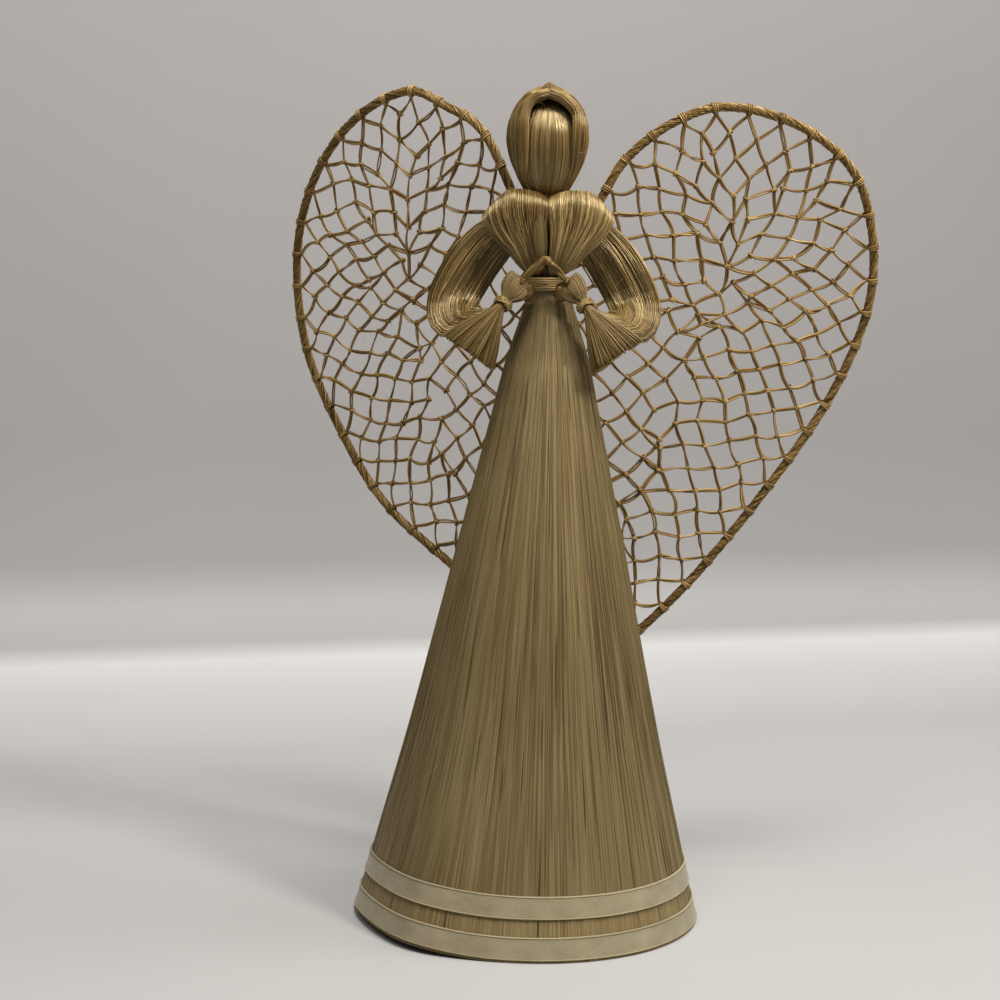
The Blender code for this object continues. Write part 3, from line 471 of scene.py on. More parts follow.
def wound(heap, outline, axis, turns, thick, mess=0.1):
    """One thread wound round a closed outline of points, turns side by side along axis."""
    loop = even_loop(outline, 28)
    path = np.vstack([loop] * turns + [loop[:1]])
    along = np.linspace(-0.5, 0.5, len(path))[:, None] * turns * thick * 2 * MM
    middle = loop.mean(axis=0)
    path = path + np.asarray(axis) * along + rng.normal(0, mess * thick * MM, path.shape)
    heap.strands(path[None], (path - middle)[None], thick * MM, 6)


def ring_outline(centre, radius, axis, count=16):
    """Points of a circle, in millimetres from the figure's axis, about a direction."""
    axis = Vector(axis).normalized()
    first = axis.orthogonal().normalized()
    second = axis.cross(first)
    turn = around(count)
    spots = np.array(centre) + radius * (np.cos(turn) * np.array(first) + np.sin(turn) * np.array(second))
    return at(spots)


def whiskers(heap, roots, reach, thick, slot=0, droop=0.3):
    """Loose fibres that curl away from their roots."""
    count, steps = len(roots), 9
    aim = unit(rng.normal(0, 1, (count, 3)) * np.array([1, 0.45, 1]))
    side = unit(np.cross(aim, rng.normal(0, 1, (count, 3))))
    t = np.linspace(0, 1, steps)[None, :, None]
    length = (reach * MM * rng.uniform(0.4, 1, count))[:, None, None]
    curl = rng.uniform(-0.6, 0.6, count)[:, None, None]
    paths = roots[:, None] + length * (aim[:, None] * t + side[:, None] * curl * t * t)
    paths[..., 2] -= (length * droop * t * t)[..., 0]
    heap.strands(paths, np.broadcast_to(side[:, None], paths.shape), thick * MM * (1.1 - t[..., 0]), 3, slot)


# Skirt and ribbons

# The skirt's outer radius by height. It leans to a viewer's right by SKIRT_LEAN from the hip up to the waist.
SKIRT_HIP, SKIRT_WAIST, SKIRT_TOP = 191.5, 216.7, 221.7
SKIRT_STATIONS = [(0, 60.6), (70, 42.5), (SKIRT_HIP, 14.7), (213.5, 7.9), (SKIRT_WAIST, 6.8), (SKIRT_TOP, 6.8)]
SKIRT_LEAN = 1.9
SKIRT_THICK = 1.0

# The hem is pushed out and lifted at one place, lifted again beside it, and flatter on one side. Each is felt
# about an angle, with a spread, and fades out by a height.
HEM_KINK, HEM_LIFT = 3.2, 1.5
HEM_KINK_FELT = (math.radians(-127), math.radians(17), 55)
HEM_CURL = 2.4
HEM_CURL_FELT = (math.radians(-158), math.radians(24), 60)
HEM_FLAT, HEM_FLAT_FADE = 1.6, 130

# Fibre coordinates round the skirt and its ribbons, in metres for each radian.
SKIRT_ROUND = 0.03
RIBBON_ROUND = 0.055


def hem_felt(angle, z, centre, spread, fade):
    """How much of a dent or lift of the hem is felt, from 0 to 1."""
    away = np.mod(angle - centre + np.pi, 2 * np.pi) - np.pi
    return np.exp(-(away / spread) ** 2) * np.clip(1 - z / fade, 0, 1)


def skirt_points(angle, z, outside=0.0):
    """Points on the skirt in millimetres, outside by that much from its outer face."""
    angle, z, outside = np.broadcast_arrays(angle, z, outside)
    felt = hem_felt(angle, z, *HEM_KINK_FELT)
    flat = HEM_FLAT * np.clip(np.cos(angle), 0, 1) ** 2 * np.clip(1 - z / HEM_FLAT_FADE, 0, 1)
    radius = np.interp(z, *zip(*SKIRT_STATIONS)) + outside + HEM_KINK * felt - flat
    sway = np.where(z < SKIRT_WAIST, SKIRT_LEAN * np.minimum(1, z / SKIRT_HIP), 0)
    lifted = z + HEM_LIFT * felt + HEM_CURL * hem_felt(angle, z, *HEM_CURL_FELT)
    return np.stack([radius * np.cos(angle) + sway, radius * np.sin(angle), lifted], axis=-1)


def skirt():
    """The cone of laid fibre, its inner face and hem edge, with raised fibres down its sides."""
    heap = Heap()
    sides, rows = 480, 26
    angle = around(sides)
    z = np.interp(np.linspace(0, 1, rows), [0, 0.86, 1], [0, 205, SKIRT_TOP])[None]
    grain = np.repeat(rng.normal(0, 0.035, (sides // 3, 1)), 3, axis=0) + rng.normal(0, 0.045, (sides, 1))
    ridge = np.clip(grain + wander(sides, rows, 4, 0.03), -0.2, 0.12) * np.interp(z, [0, 200], [1, 0.2])
    outer = at(skirt_points(angle, z, ridge - 0.12))
    inner = at(skirt_points(angle, z[:, ::-1], ridge[:, ::-1] - SKIRT_THICK))
    hem = np.stack([inner[:, -1], outer[:, 0]], axis=1)
    collar = np.stack([outer[:, -1], inner[:, 0]], axis=1)
    for grid, along in ((outer, z * MM), (inner, z[:, ::-1] * MM), (hem, 0), (collar, 0)):
        heap.surface(grid, along, angle * SKIRT_ROUND * np.ones((1, grid.shape[1])), wrap=True)
    raised_fibres(heap, 1500)
    roots = at(skirt_points(rng.uniform(0, 2 * np.pi, 26), rng.uniform(15, 205, 26)))
    whiskers(heap, roots, 9, 0.045, 1, 0.1)
    heap.piece("skirt_laid", [SKIRT, WHISKER], "skirt")


def raised_fibres(heap, count):
    """Fibres that stand a little proud of the skirt and run down it."""
    start = rng.uniform(0.3, 200, (count, 1))
    finish = np.minimum(start + rng.uniform(20, 150, (count, 1)), 214)
    taper = np.array([0.2, 0.95, 1, 0.95, 0.2])
    t = np.linspace(0, 1, len(taper))[None]
    lane = any_angle(count) + rng.normal(0, 0.008, (count, 1)) * t
    paths = at(skirt_points(lane, start + (finish - start) * t, rng.uniform(-0.12, 0.08, (count, 1))))
    outward = paths - at([0, 0, 0])
    outward[..., 2] = 0
    heap.strands(paths, outward, rng.uniform(0.05, 0.13, (count, 1)) * MM * taper)


def ribbon(name, node):
    """A flat ribbon round the hem, a little slack, with a raised selvedge along each edge."""
    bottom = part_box(node)[0].z / MM
    width, thick, lap = 7.3, 0.36, 0.35
    inset, high, broad = 0.35, 0.1, 0.22
    sides, strips = 240, 12
    angle = np.linspace(math.pi / 2 - lap, math.pi / 2 + 2 * np.pi, sides)[:, None]
    last = np.clip((angle - math.pi / 2 - 2 * np.pi + lap) / 0.12 + 0.5, 0, 1)
    slack = wander(1, sides, 26, 0.06)[0][:, None] * 0.6
    rows = np.linspace(0, width, strips)[None]
    crest = high * np.exp(-((rows - inset) / broad) ** 2) + high * np.exp(-((rows - width + inset) / broad) ** 2)
    lift = 0.05 + np.abs(slack) + last * 0.6
    tilt = wander(1, sides, 9, 0.12)[0][:, None]
    heap = Heap()
    outer = at(skirt_points(angle, bottom + rows + tilt, lift + thick + crest))
    inner = at(skirt_points(angle, bottom + rows[:, ::-1] + tilt, lift + np.zeros_like(rows)))
    grid = np.concatenate([outer, inner, outer[:, :1]], axis=1)
    across = np.concatenate([rows, rows[:, ::-1], rows[:, :1]], axis=1) * MM
    heap.surface(grid, angle * RIBBON_ROUND, across)
    for row in (0, sides - 1):
        end = np.stack([outer[row], inner[row, ::-1]])
        heap.surface(end, 0, rows * MM * np.ones((2, 1)))
    for edge in (0.3, width - 0.3):
        path = at(skirt_points(angle[:, 0], bottom + edge + tilt[:, 0], lift[:, 0] + 0.4))
        path = path[None] + rng.normal(0, 0.02 * MM, (1, sides, 3))
        outward = path - at([0, 0, 0])
        heap.strands(path, outward, 0.2 * MM, 5, 1)
    heap.piece(name, [RIBBON, SELVEDGE], node)


# Head and hair

# The hood's form: (share of its height, share of its radius). OPENING is how far the face shows on each side.
HOOD_Z, HOOD_HEIGHT, HOOD_RADIUS = 251.7, 35, 14.1
HOOD_SHAPE = [(0, 0.56), (0.12, 0.75), (0.28, 0.92), (0.46, 1.0), (0.62, 0.965), (0.78, 0.81), (0.91, 0.55),
              (0.97, 0.3), (1, 0.05)]
OPENING = {-1: 8.0, 1: 9.8}
ARCH_SPRING, ARCH_TOP = 272.5, 283.1
CROWN = (0.9, -1.2, 285.5)

# How thick the lock along the face is, by shares of its length, and the head's (radius, height) from the top down.
LOCK_SWELL = [(0, 0.12, 0.3, 0.75, 1), (0.7, 1.5, 1.6, 1.2, 0.8)]
HEAD_SHAPE = [(0.3, 282.4), (3.4, 281.2), (6.4, 278.6), (8.9, 275), (10.7, 270.5), (11.3, 264), (10, 258),
              (8.4, 254), (6.6, 251), (4.5, 249), (3.4, 246), (3, 228), (2.1, 222), (2, 214)]


def hood_radius(z):
    """The hood's outer radius at a height, in millimetres."""
    heights, radii = zip(*HOOD_SHAPE)
    fine = np.linspace(0, 1, 60)
    rounded = np.interp(fine, heights, radii)
    rounded[2:-2] = (rounded[:-4] + rounded[1:-3] + rounded[2:-2] + rounded[3:-1] + rounded[4:]) / 5
    return np.interp((z - HOOD_Z) / HOOD_HEIGHT, fine, rounded) * HOOD_RADIUS


def hood_points(azimuth, z, scale=1.0):
    """Points on the hood's outer form. Azimuth is 0 in front and grows to a viewer's right."""
    azimuth, z = np.broadcast_arrays(azimuth, z)
    radius = hood_radius(z) * scale
    return np.stack([radius * np.sin(azimuth), -radius * np.cos(azimuth), z], axis=-1)


def rim_azimuth(z, side):
    """How far round the hood the edge of its opening lies at a height, as an arch on two straight sides."""
    rise = np.clip((z - ARCH_SPRING) / (ARCH_TOP - ARCH_SPRING), 0, 1)
    radius = hood_radius(z)
    reach = np.minimum(OPENING[side], 0.8 * radius) * (1 - rise ** 2.8) ** 0.5
    return np.arcsin(np.clip(reach / radius, 0, 0.95))


def hair_paths(share, side, steps, scale):
    """Strands from the crown down one side; share 0 lies along the face's edge and 1 down the back."""
    t = np.linspace(0, 1, steps)[None]
    z = HOOD_Z + HOOD_HEIGHT * (0.985 * np.cos(t * math.pi / 2) ** 0.85) - 0.4 * t
    edge = rim_azimuth(z, side)
    azimuth = side * (edge + (np.pi - edge) * share)
    spots = hood_points(azimuth, z, scale * (1 - 0.05 * t ** 4))
    ease = 0.8 * np.exp(-(t / 0.06) ** 2)[..., None]
    return at(spots * (1 - ease) + np.array(CROWN) * ease)


def face_lock(heap, side, steps, middle):
    """The rolled lock along one edge of the face."""
    rim = hair_paths(np.array([[0.015]]), side, steps, 0.95)[0]
    out = unit(rim - middle)
    beside = unit(np.cross(unit(np.gradient(rim, axis=0)), out))
    swell = np.interp(np.linspace(0, 1, steps), *LOCK_SWELL)[:, None] * MM
    count = 90
    turn = any_angle(count) + np.linspace(0, side * 1.0, steps)[None]
    deep = rng.uniform(0.7, 1.05, (count, 1))
    wide, high = (np.cos(turn) * deep)[..., None], (np.sin(turn) * deep)[..., None]
    paths = rim + out * swell * wide + beside * swell * high
    heap.strands(paths, paths - rim, girths(0.2, count))


def hair():
    """The hood: strands laid from the crown down both sides, and a rolled lock along each edge of the face."""
    heap = Heap()
    steps, count = 22, 310
    along = np.arange(steps)[None] * 0.0015
    middle = at([0, 0, HOOD_Z + HOOD_HEIGHT / 2])
    layer = np.linspace(0.02, 1, 30)[:, None]
    for side in (-1, 1):
        # Inner shells in the dark core finish: painted shade under the hood's strands.
        for scale in (0.965, 0.87):
            heap.surface(hair_paths(layer, side, steps, scale), along, layer * 0.04, 1)
        share = rng.uniform(0, 1, (count, 1)) ** 1.15
        lock = 0.012 * np.sin(share * 60 + side) + 0.01 * np.sin(share * 107)
        scale = 0.98 + lock + rng.uniform(-0.012, 0.012, (count, 1)) + wander(count, steps, 3, 0.006)
        drift = np.clip(share + wander(count, steps, 2, 0.008), 0, 1)
        paths = hair_paths(drift, side, steps, scale)
        heap.strands(paths, paths - middle, girths(0.2, count))
        face_lock(heap, side, steps, middle)
    roots = at(hood_points(rng.uniform(-np.pi, np.pi, 34), rng.uniform(254, 285, 34)))
    whiskers(heap, roots, 7, 0.04, 2)
    heap.piece("hair_laid", [HAIR, PAINTED_SHADE_CORE, WHISKER], "hair_hood")


def hair_knot():
    """The knot on the crown: turns of brown thread that cross."""
    heap = Heap()
    wound(heap, ring_outline((0.9, -0.9, 285.5), 1.0, (0.2, -0.3, 1), 10), (0, 0, 1), 2, 0.4, 0.25)
    wound(heap, ring_outline((1.5, -1.1, 285.5), 0.8, (1, 0.2, 0.1), 10), (1, 0, 0), 2, 0.35, 0.25)
    heap.piece("hair_knot_tied", [THREAD_BROWN], "hair_knot")


def head():
    """The ball of the face, smooth in front, its neck, and the trunk and core below it."""
    heap = Heap()
    steps, sides, count = 26, 96, 220
    radii, heights = zip(*HEAD_SHAPE)
    line = smooth_path(np.stack([radii, heights], axis=1), steps)

    def place(azimuth, scale):
        radius = line[:, 0] * scale
        return at(np.stack([radius * np.sin(azimuth), -radius * np.cos(azimuth),
                            line[:, 1] * np.ones_like(azimuth)], axis=-1))

    azimuth = around(sides)
    groove = 1 - 0.012 * np.abs(np.sin(azimuth * 31 + 2 * np.sin(azimuth * 7)))
    t = np.linspace(0, 1, steps)[None]
    heap.surface(place(azimuth + 0 * t, groove), t * 0.07, azimuth * 0.011, wrap=True)
    angle = any_angle(count) + wander(count, steps, 3, 0.012)
    paths = place(angle, rng.uniform(0.985, 1.004, (count, 1)) + wander(count, steps, 3, 0.002))
    heap.strands(paths, paths - at([0, 0, 266]), girths(0.17, count, 0.6, 1.3))
    heap.piece("face_and_neck", [FACE], "head_bundle")


def tie(name, finish, node, outline, turns, thick, mess=0.1):
    """A piece that is one thread wound level round an outline."""
    heap = Heap()
    wound(heap, outline, (0, 0, 1), turns, thick, mess)
    heap.piece(name, [finish], node)


def neck_thread():
    """The thread round the neck."""
    tie("neck_thread", THREAD, "neck_tie", ring_outline((0, 0, NECK), 4.9, (0, 0, 1)), 2, 0.3)


# Chest, arms and hands

# Sections of the pale leaf that shows between the chest bundles.
PALE_LEAF = [((-0.8, -11.1, 227), (1.2, 0, 0), 0.3), ((-1.5, -12.5, 232), (2.3, 0, 0.1), 0.3),
             ((-2.0, -12.9, 238), (2.1, 0, 0.1), 0.3), ((-1.9, -12.6, 242.5), (0.9, 0, 0.1), 0.25)]


def chest(word, side):
    """A fan of fibre that leaves the waist, rolls over the shoulder and goes down the back."""
    foot, crown = SKIRT_TOP, 246.8
    tail, wide, half = 2.6, 20.2, 2.4

    def section(inner, outer, y, z, thickness, bow=0.0):
        shift = 0.9 * min(1, max(0, z - foot) / 6)
        return ((side * (inner + outer) / 2 + shift, y, z), (side * (outer - inner) / 2, 0, 0), thickness,
                (0, -0.25 * bow, bow))

    sections = [
        section(tail - 1.5, tail + 1.5, -tail, foot - 4, 1.3),
        section(tail - 1.5, tail + 1.7, -tail, foot + 0.5, 1.4),
        section(0.4, wide * 0.42, -6.2, foot + 4, half * 0.8),
        section(0.2, wide * 0.68, -8.4, foot + 10.5, half * 0.95),
        section(0.1, wide * 0.93, -9.1, foot + 17, half, -1),
        section(0.1, wide * 1.06, -9.3, crown - 1.6, half * 1.15, -3.6),
        section(0.3, wide * 1.04, -6.9, crown + 1.6, half * 1.2, -5.4),
        section(5.2, wide * 0.98, -1.4, crown + 0.6, half * 0.95, -4),
        section(6.9, wide * 0.9, 3.2, crown - 6.5, half * 0.6),
        section(4.3, wide * 0.62, 3.2, foot + 9, half * 0.55),
        section(tail - 1.5, tail + 1.5, tail, foot + 0.5, 1.1),
        section(tail - 1.5, tail + 1.5, tail, foot - 4, 1.1),
    ]
    heap = Heap()
    bundle(heap, sections, 560, 25, 0.18, layers=(0.93, 1.05), loose=0.5, locks=26)
    roots = bundle_frame(sections, 30)[0][[14, 16, 17, 18, 20]]
    roots = roots + rng.normal(0, 3 * MM, roots.shape)
    whiskers(heap, np.repeat(roots, 2, axis=0), 9, 0.05, 2)
    if side < 0:
        bundle(heap, PALE_LEAF, 40, 12, 0.16, ragged=0.6, layers=(0.3, 1.0), slot=3, core_slot=3)
    # The left fan takes the copy with painted shade, the right fan the copy with painted light.
    gold = GOLD_PAINTED_SHADE_LEFT if side < 0 else GOLD_PAINTED_LIGHT_RIGHT
    heap.piece("chest_fan_" + word, [gold, PAINTED_SHADE_CORE, WHISKER, HAND], "chest_" + word)


def wrist_of(side):
    """The wrist's place, the way the hand leaves it, and the way to the back across that."""
    wrist = np.array([side * 13.8, -14.3, WAIST - 6.5])
    toward = unit(np.array([-side * 0.58, 0.36, 0.75]))
    behind = unit(np.array([0, 1, 0]) - toward * toward[1])
    return wrist, toward, behind


def arm(word, side):
    """A broad cupped ribbon of fibre from the shoulder round the elbow to the wrist."""
    wrist, toward, behind = wrist_of(side)
    half, reach, width, z = 1.6, 40, 9, WAIST
    across = np.cross(toward, behind) * -side

    def section(x, y, rise, wide, thickness):
        return (side * x, y, z + rise), np.array(wide) * np.array([side, 1, 1]) * width, thickness

    sections = [
        section(11, -0.6, 18.5, (0.1, 0, 0.6), half),
        section(17.5, -0.8, 14.8, (0.5, -0.1, 0.66), half),
        section(reach - 15.8, -1.4, 7, (0.8, -0.4, 0.45), half),
        section(reach - 9.8, -3, -3.8, (0.92, -0.5, 0.1), half),
        section(reach - 9.3, -7.6, -9.9, (0.86, -0.38, -0.4), half * 1.2),
        section(reach - 11.6, -11.8, -13.4, (0.56, -0.36, -0.5), half * 1.1),
        section(reach - 17.2, -14.2, -12.2, (0.22, -0.14, -0.42), half * 0.85),
        (wrist - toward * 3 + behind * 1.6, across * -1.8, 0.65),
        (wrist + behind * 1.4, across * -1.3, 0.5),
        (wrist + toward * 1.6 + behind * 1.4, across * -1.3, 0.5),
    ]
    heap = Heap()
    bundle(heap, sections, 520, 25, 0.18, core=0.87, layers=(0.9, 1.05), loose=0.5)
    centres = bundle_frame(sections, 20)[0][4:14]
    roots = np.repeat(centres, 2, axis=0) + rng.normal(0, 4 * MM, (20, 3)) * np.array([1, 0.2, 1])
    whiskers(heap, roots, 11, 0.05, 2)
    heap.piece("arm_ribbon_" + word, [ARM, PAINTED_SHADE_CORE, WHISKER], "arm_" + word)


def sleeve(word, side):
    """The flared cuff of cut fibre, tied at the wrist, with ragged ends."""
    wrist, toward, behind = wrist_of(side)
    front = np.array([0, -1, 0])
    down = unit(np.array([side * 0.56, 0, -0.83]))
    spread = unit(np.array([side * 0.93, 0, 0.36]))
    across = np.cross(toward, behind) * -side
    sections = [
        (wrist + toward * 1.6 - behind * 1.4, across * 1.3, 0.5),
        (wrist - toward * 1.6 - behind * 1.4, across * 1.3, 0.5),
        (wrist + down * 8.4 + front * 2.8, spread * 5.0, 1.1),
        (wrist + down * 14.8 + front * 3.4, spread * 8.4, 1.45),
        (wrist + down * 20 + front * 3.6, spread * 10.5, 1.6),
    ]
    heap = Heap()
    bundle(heap, sections, 520, 10, 0.18, ragged=0.35, layers=(0.72, 1.03), loose=0.15, locks=40)
    heap.piece("sleeve_fan_" + word, [PALE, PAINTED_SHADE_CORE], "sleeve_" + word)


def hand_across(side):
    """The way across the flat of a hand."""
    return unit(np.array([side * 0.77, 0, 0.60]))


def hand(word, side):
    """A flat pale mitten from the wrist to the waist."""
    wrist, toward, _ = wrist_of(side)
    across = hand_across(side)
    sections = [
        (wrist - toward * 1.6, across * 1.6, 0.6),
        (wrist + toward * 1.9, across * 1.9, 0.6),
        (wrist + toward * 5.0, across * 4.2, 1.35),
        (wrist + toward * 8.6, across * 4.9, 1.25),
        (wrist + toward * 11, across * 4.5, 0.8),
    ]
    heap = Heap()
    bundle(heap, sections, 220, 11, 0.16, core=0.94, ragged=0.4, layers=(0.9, 1.02), core_slot=0, loose=0.2)
    heap.piece("hand_flat_" + word, [HAND], "hand_" + word)


def wrist_thread(word, side):
    """The thread turns at the wrist, laid at three slants, and their loose ends."""
    wrist, toward, _ = wrist_of(side)
    heap = Heap()
    for lean in (-0.25, 0.0, 0.3):
        axis = unit(toward + hand_across(side) * lean)
        wound(heap, ring_outline(wrist, 2.95, axis, 12), axis, 3, 0.24, 0.5)
    whiskers(heap, at([wrist + toward * k for k in (-1, 0, 1, 0.5)]), 5, 0.07)
    heap.piece("wrist_thread_" + word, [THREAD], "wrist_tie_" + word)


def strap():
    """The twisted strap between the hands, its apex knot and frayed ends."""
    heap = Heap()
    span = np.linspace(-1, 1, 11)
    for strand in (0, 1):
        twist = span * 5 + strand * np.pi
        spots = np.stack([span * 7.6, -13.0 + 1.9 * span ** 2 + 0.5 * np.sin(twist),
                          220.4 + 7.2 * (1 - np.abs(span) ** 1.3) + 0.55 * np.cos(twist)], axis=1)
        sections = [(spot, (0, 0.75, 0.3), 0.7) for spot in spots]
        bundle(heap, sections, 34, 26, 0.16, core=0.85)
    wound(heap, ring_outline((1.2, -12.9, 227.2), 1.35, (1, 0, 0.2), 10), (1, 0, 0), 3, 0.25, 0.4)
    for x in (-7.4, 7.4):
        wound(heap, ring_outline((x, -11.4, 220.6), 1.3, (1, 0.2, -0.5), 10), (1, 0, 0), 2, 0.3, 0.5)
        whiskers(heap, at(np.array([[x, -11.6, 220.4]]) + rng.normal(0, 0.8, (12, 3))), 4.5, 0.08)
    heap.piece("strap_twisted", [THREAD_BROWN, PAINTED_SHADE_CORE], "hand_strap")


GLUE_SIZE = 2.3


def glue(word, side):
    """A lump of dried glue between the hand and the waist thread."""
    low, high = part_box("glue_bead_" + word)
    middle = np.array((low + high) / 2) + np.array([-side * 0.8, -2.3, -1.2]) * MM
    turn = around(24)
    rise = np.linspace(0.001, math.pi - 0.001, 16)[None]
    lump = 1 + 0.16 * np.sin(3 * turn + side) * np.sin(rise) + 0.1 * np.sin(5 * rise + turn * 2)
    grid = np.stack([np.cos(turn) * np.sin(rise) * lump * 1.05, np.sin(turn) * np.sin(rise) * lump,
                     np.cos(rise) * lump * 1.3], axis=-1) * GLUE_SIZE * MM
    heap = Heap()
    heap.surface(middle + grid, rise * MM, turn * MM, wrap=True)
    heap.piece("glue_lump_" + word, [GLUE], "glue_bead_" + word)


# Wings

FRAME_RADIUS = 1.55
WING_ROOT = 3.4
LEFT_SWEEP, RIGHT_SWEEP = math.radians(36), math.radians(8)

# The loops as (out, up) from the waist, and how far each one's reach is scaled.
LEFT_OUTLINE = [(0, 8), (11.3, 34), (24, 53.9), (40, 62.6), (58, 68.2), (82.7, 58.1), (101.5, 36.9), (110, 8.6),
                (106, -26), (89.4, -57.5), (67, -85.6), (36.5, -106), (10, -121), (0, -113), (0, -60)]
RIGHT_OUTLINE = [(0, 4), (4.6, 15), (14.8, 28.7), (24.6, 44.9), (42, 58.4), (61.9, 63.5), (89.4, 55.9),
                 (109.4, 37.3), (116.2, 2.3), (106, -34), (82.5, -73.4), (52.3, -113.2), (24, -141), (9, -149),
                 (0, -138), (0, -70)]
REACH = {-1: 0.99, 1: 0.985}

# The wings lean as the skirt's side does, and stand behind the waist thread.
(SIDE_LOW, RADIUS_LOW), (SIDE_HIGH, RADIUS_HIGH) = SKIRT_STATIONS[1:3]
WING_LEAN = math.atan((RADIUS_LOW - RADIUS_HIGH) / (SIDE_HIGH - SIDE_LOW))
WING_BACK = (WAIST_HIGH.y - AXIS.y) / MM - FRAME_RADIUS - 1.8

# Nets: knots on the frame, how far apart knots are, and how far a row may hang below the one before it.
ANCHORS = {-1: 39, 1: 44}
MESH_SIDE = 8.8
MESH_LEAST = 6.6
LEAST_GAIN = 1.5
LEAST_DROP, MOST_DROP = 5, 6.4
MOST_ROWS = 14

# Strands that close the net run between these shares of MESH_SIDE. Then the strands pull in small steps.
LINK_LEAST, LINK_MOST = 0.4, 1.3
PULL_ROUNDS, PULL_SHARE = 40, 0.12


def wing_place(side, sweep):
    """Turns (out, up) pairs in millimetres from the waist into places in the frame."""
    out = np.array([side * math.cos(sweep), math.sin(sweep), 0])
    up = np.array([0, -math.sin(WING_LEAN), math.cos(WING_LEAN)])
    origin = np.array([side * WING_ROOT, WING_BACK, WAIST])

    def place(pairs):
        pairs = np.asarray(pairs, float)
        return at(origin + pairs[..., :1] * out + pairs[..., 1:2] * up)

    return place, unit(np.cross(out, up))


def bound_frame(word, place, normal, outline):
    """The loop, bound all along with slanting strands that make it look like rope."""
    heap = Heap()
    steps = 240
    loop = even_loop(outline, steps)
    loop = np.vstack([loop, loop[:2]])
    path = place(loop)
    tangent = unit(np.gradient(path, axis=0))
    beside = unit(np.cross(tangent, normal))
    walked = distances(path) / MM

    def laid(count, pitch, inside, thick, sides, unrest):
        turn = 2 * np.pi * (walked / pitch + np.linspace(0, 1, count, endpoint=False)[:, None])
        turn = turn + wander(count, len(path), 50, unrest)
        reach = (FRAME_RADIUS - inside + wander(count, len(path), 70, 0.06)) * MM
        paths = path + normal * (np.cos(turn) * reach)[..., None] + beside * (np.sin(turn) * reach)[..., None]
        girth = girths(thick, count, 0.75, 1.2) * (1 + wander(count, len(path), 90, 0.1))
        heap.strands(paths, paths - path, girth, sides)

    laid(12, 19, 0.38, 0.4, 4, 0.12)
    laid(16, 17.5, 0.08, 0.14, 3, 0.3)
    # The loop's centre strand in the dark core finish: painted shade between the binding turns.
    heap.strands(path[None], np.broadcast_to(normal, path[None].shape), 1.0 * MM, 6, 1)
    whiskers(heap, path[rng.integers(0, steps, 30)], 6, 0.05, 2)
    heap.piece("wing_loop_" + word, [BOUND, PAINTED_SHADE_CORE, WHISKER], "wing_frame_" + word)


def net_knots(outline, anchors):
    """Rows of knots from the frame inwards. Each hangs from two of the row before; crowded ones are joined."""
    spots = even_loop(outline, anchors)
    border = even_loop(outline, 400)
    ahead = np.roll(spots, -1, axis=0) - np.roll(spots, 1, axis=0)
    inward = unit(np.stack([ahead[:, 1], -ahead[:, 0]], axis=1))
    inward = inward * np.sign(np.sum(inward * (spots.mean(axis=0) - spots)))
    flip = np.sign(np.sum(ahead[:, 0] * inward[:, 1] - ahead[:, 1] * inward[:, 0]))

    def depth(spot):
        return np.min(np.linalg.norm(border - spot, axis=1))

    knots = list(spots + inward * (FRAME_RADIUS + 0.8))
    row = list(range(anchors))
    pairs = []
    for _ in range(MOST_ROWS):
        new = []
        for k, first in enumerate(row):
            second = row[(k + 1) % len(row)]
            run = knots[second] - knots[first]
            half = np.linalg.norm(run) / 2
            if half > MESH_SIDE or first == second:
                continue
            drop = min(math.sqrt(max(MESH_SIDE ** 2 - half ** 2, LEAST_DROP ** 2)), MOST_DROP)
            across = np.array([-run[1], run[0]]) * flip / max(2 * half, 0.1)
            spot = (knots[first] + knots[second]) / 2 + across * drop
            if depth(spot) > max(depth(knots[first]), depth(knots[second])) + LEAST_GAIN:
                new.append([spot, {first, second}])
        new = thinned(new)
        row = []
        for spot, parents in new:
            pairs += [(parent, len(knots)) for parent in sorted(parents)]
            row.append(len(knots))
            knots.append(spot)
        if len(row) < 2:
            break
    knots = np.array(knots)
    pairs, seam = closed(knots, pairs, anchors)
    return spots, inward, settled(knots, pairs, anchors), pairs, seam


def thinned(row):
    """A row of [place, parents] with neighbours that crowd or pass one another joined."""
    while len(row) > 3:
        places = np.array([spot for spot, parents in row])
        onward = np.roll(places, -1, axis=0) - places
        before = np.roll(places, -2, axis=0) - np.roll(places, 1, axis=0)
        nearer = np.linalg.norm(onward, axis=1) * np.sign(np.sum(onward * before, axis=1))
        nearer = np.where(np.abs(nearer) > MESH_SIDE * 2, MESH_SIDE, nearer)
        k = int(np.argmin(nearer))
        if nearer[k] > MESH_LEAST:
            break
        after = (k + 1) % len(row)
        merged = [(row[k][0] + row[after][0]) / 2, row[k][1] | row[after][1]]
        row = [merged if n == k else one for n, one in enumerate(row) if n != after]
    return row


def closed(knots, pairs, anchors):
    """The strands, with knots left open where both halves meet tied to their nearest, and those knots."""
    linked = {k: set() for k in range(len(knots))}
    for first, second in pairs:
        linked[first].add(second)
        linked[second].add(first)
    seam = [k for k in range(anchors, len(knots)) if len(linked[k]) < 4]
    for k in seam:
        gaps = np.linalg.norm(knots - knots[k], axis=1)
        for other in np.argsort(gaps)[1:]:
            shares = any(other in linked[near] for near in linked[k])
            if len(linked[k]) > 3 or gaps[other] > LINK_MOST * MESH_SIDE:
                break
            free = other >= anchors and other not in linked[k] and len(linked[other]) < 5
            if free and not shares and gaps[other] > LINK_LEAST * MESH_SIDE:
                linked[k].add(int(other))
                linked[other].add(k)
                pairs.append((k, int(other)))
    return np.array(pairs), seam


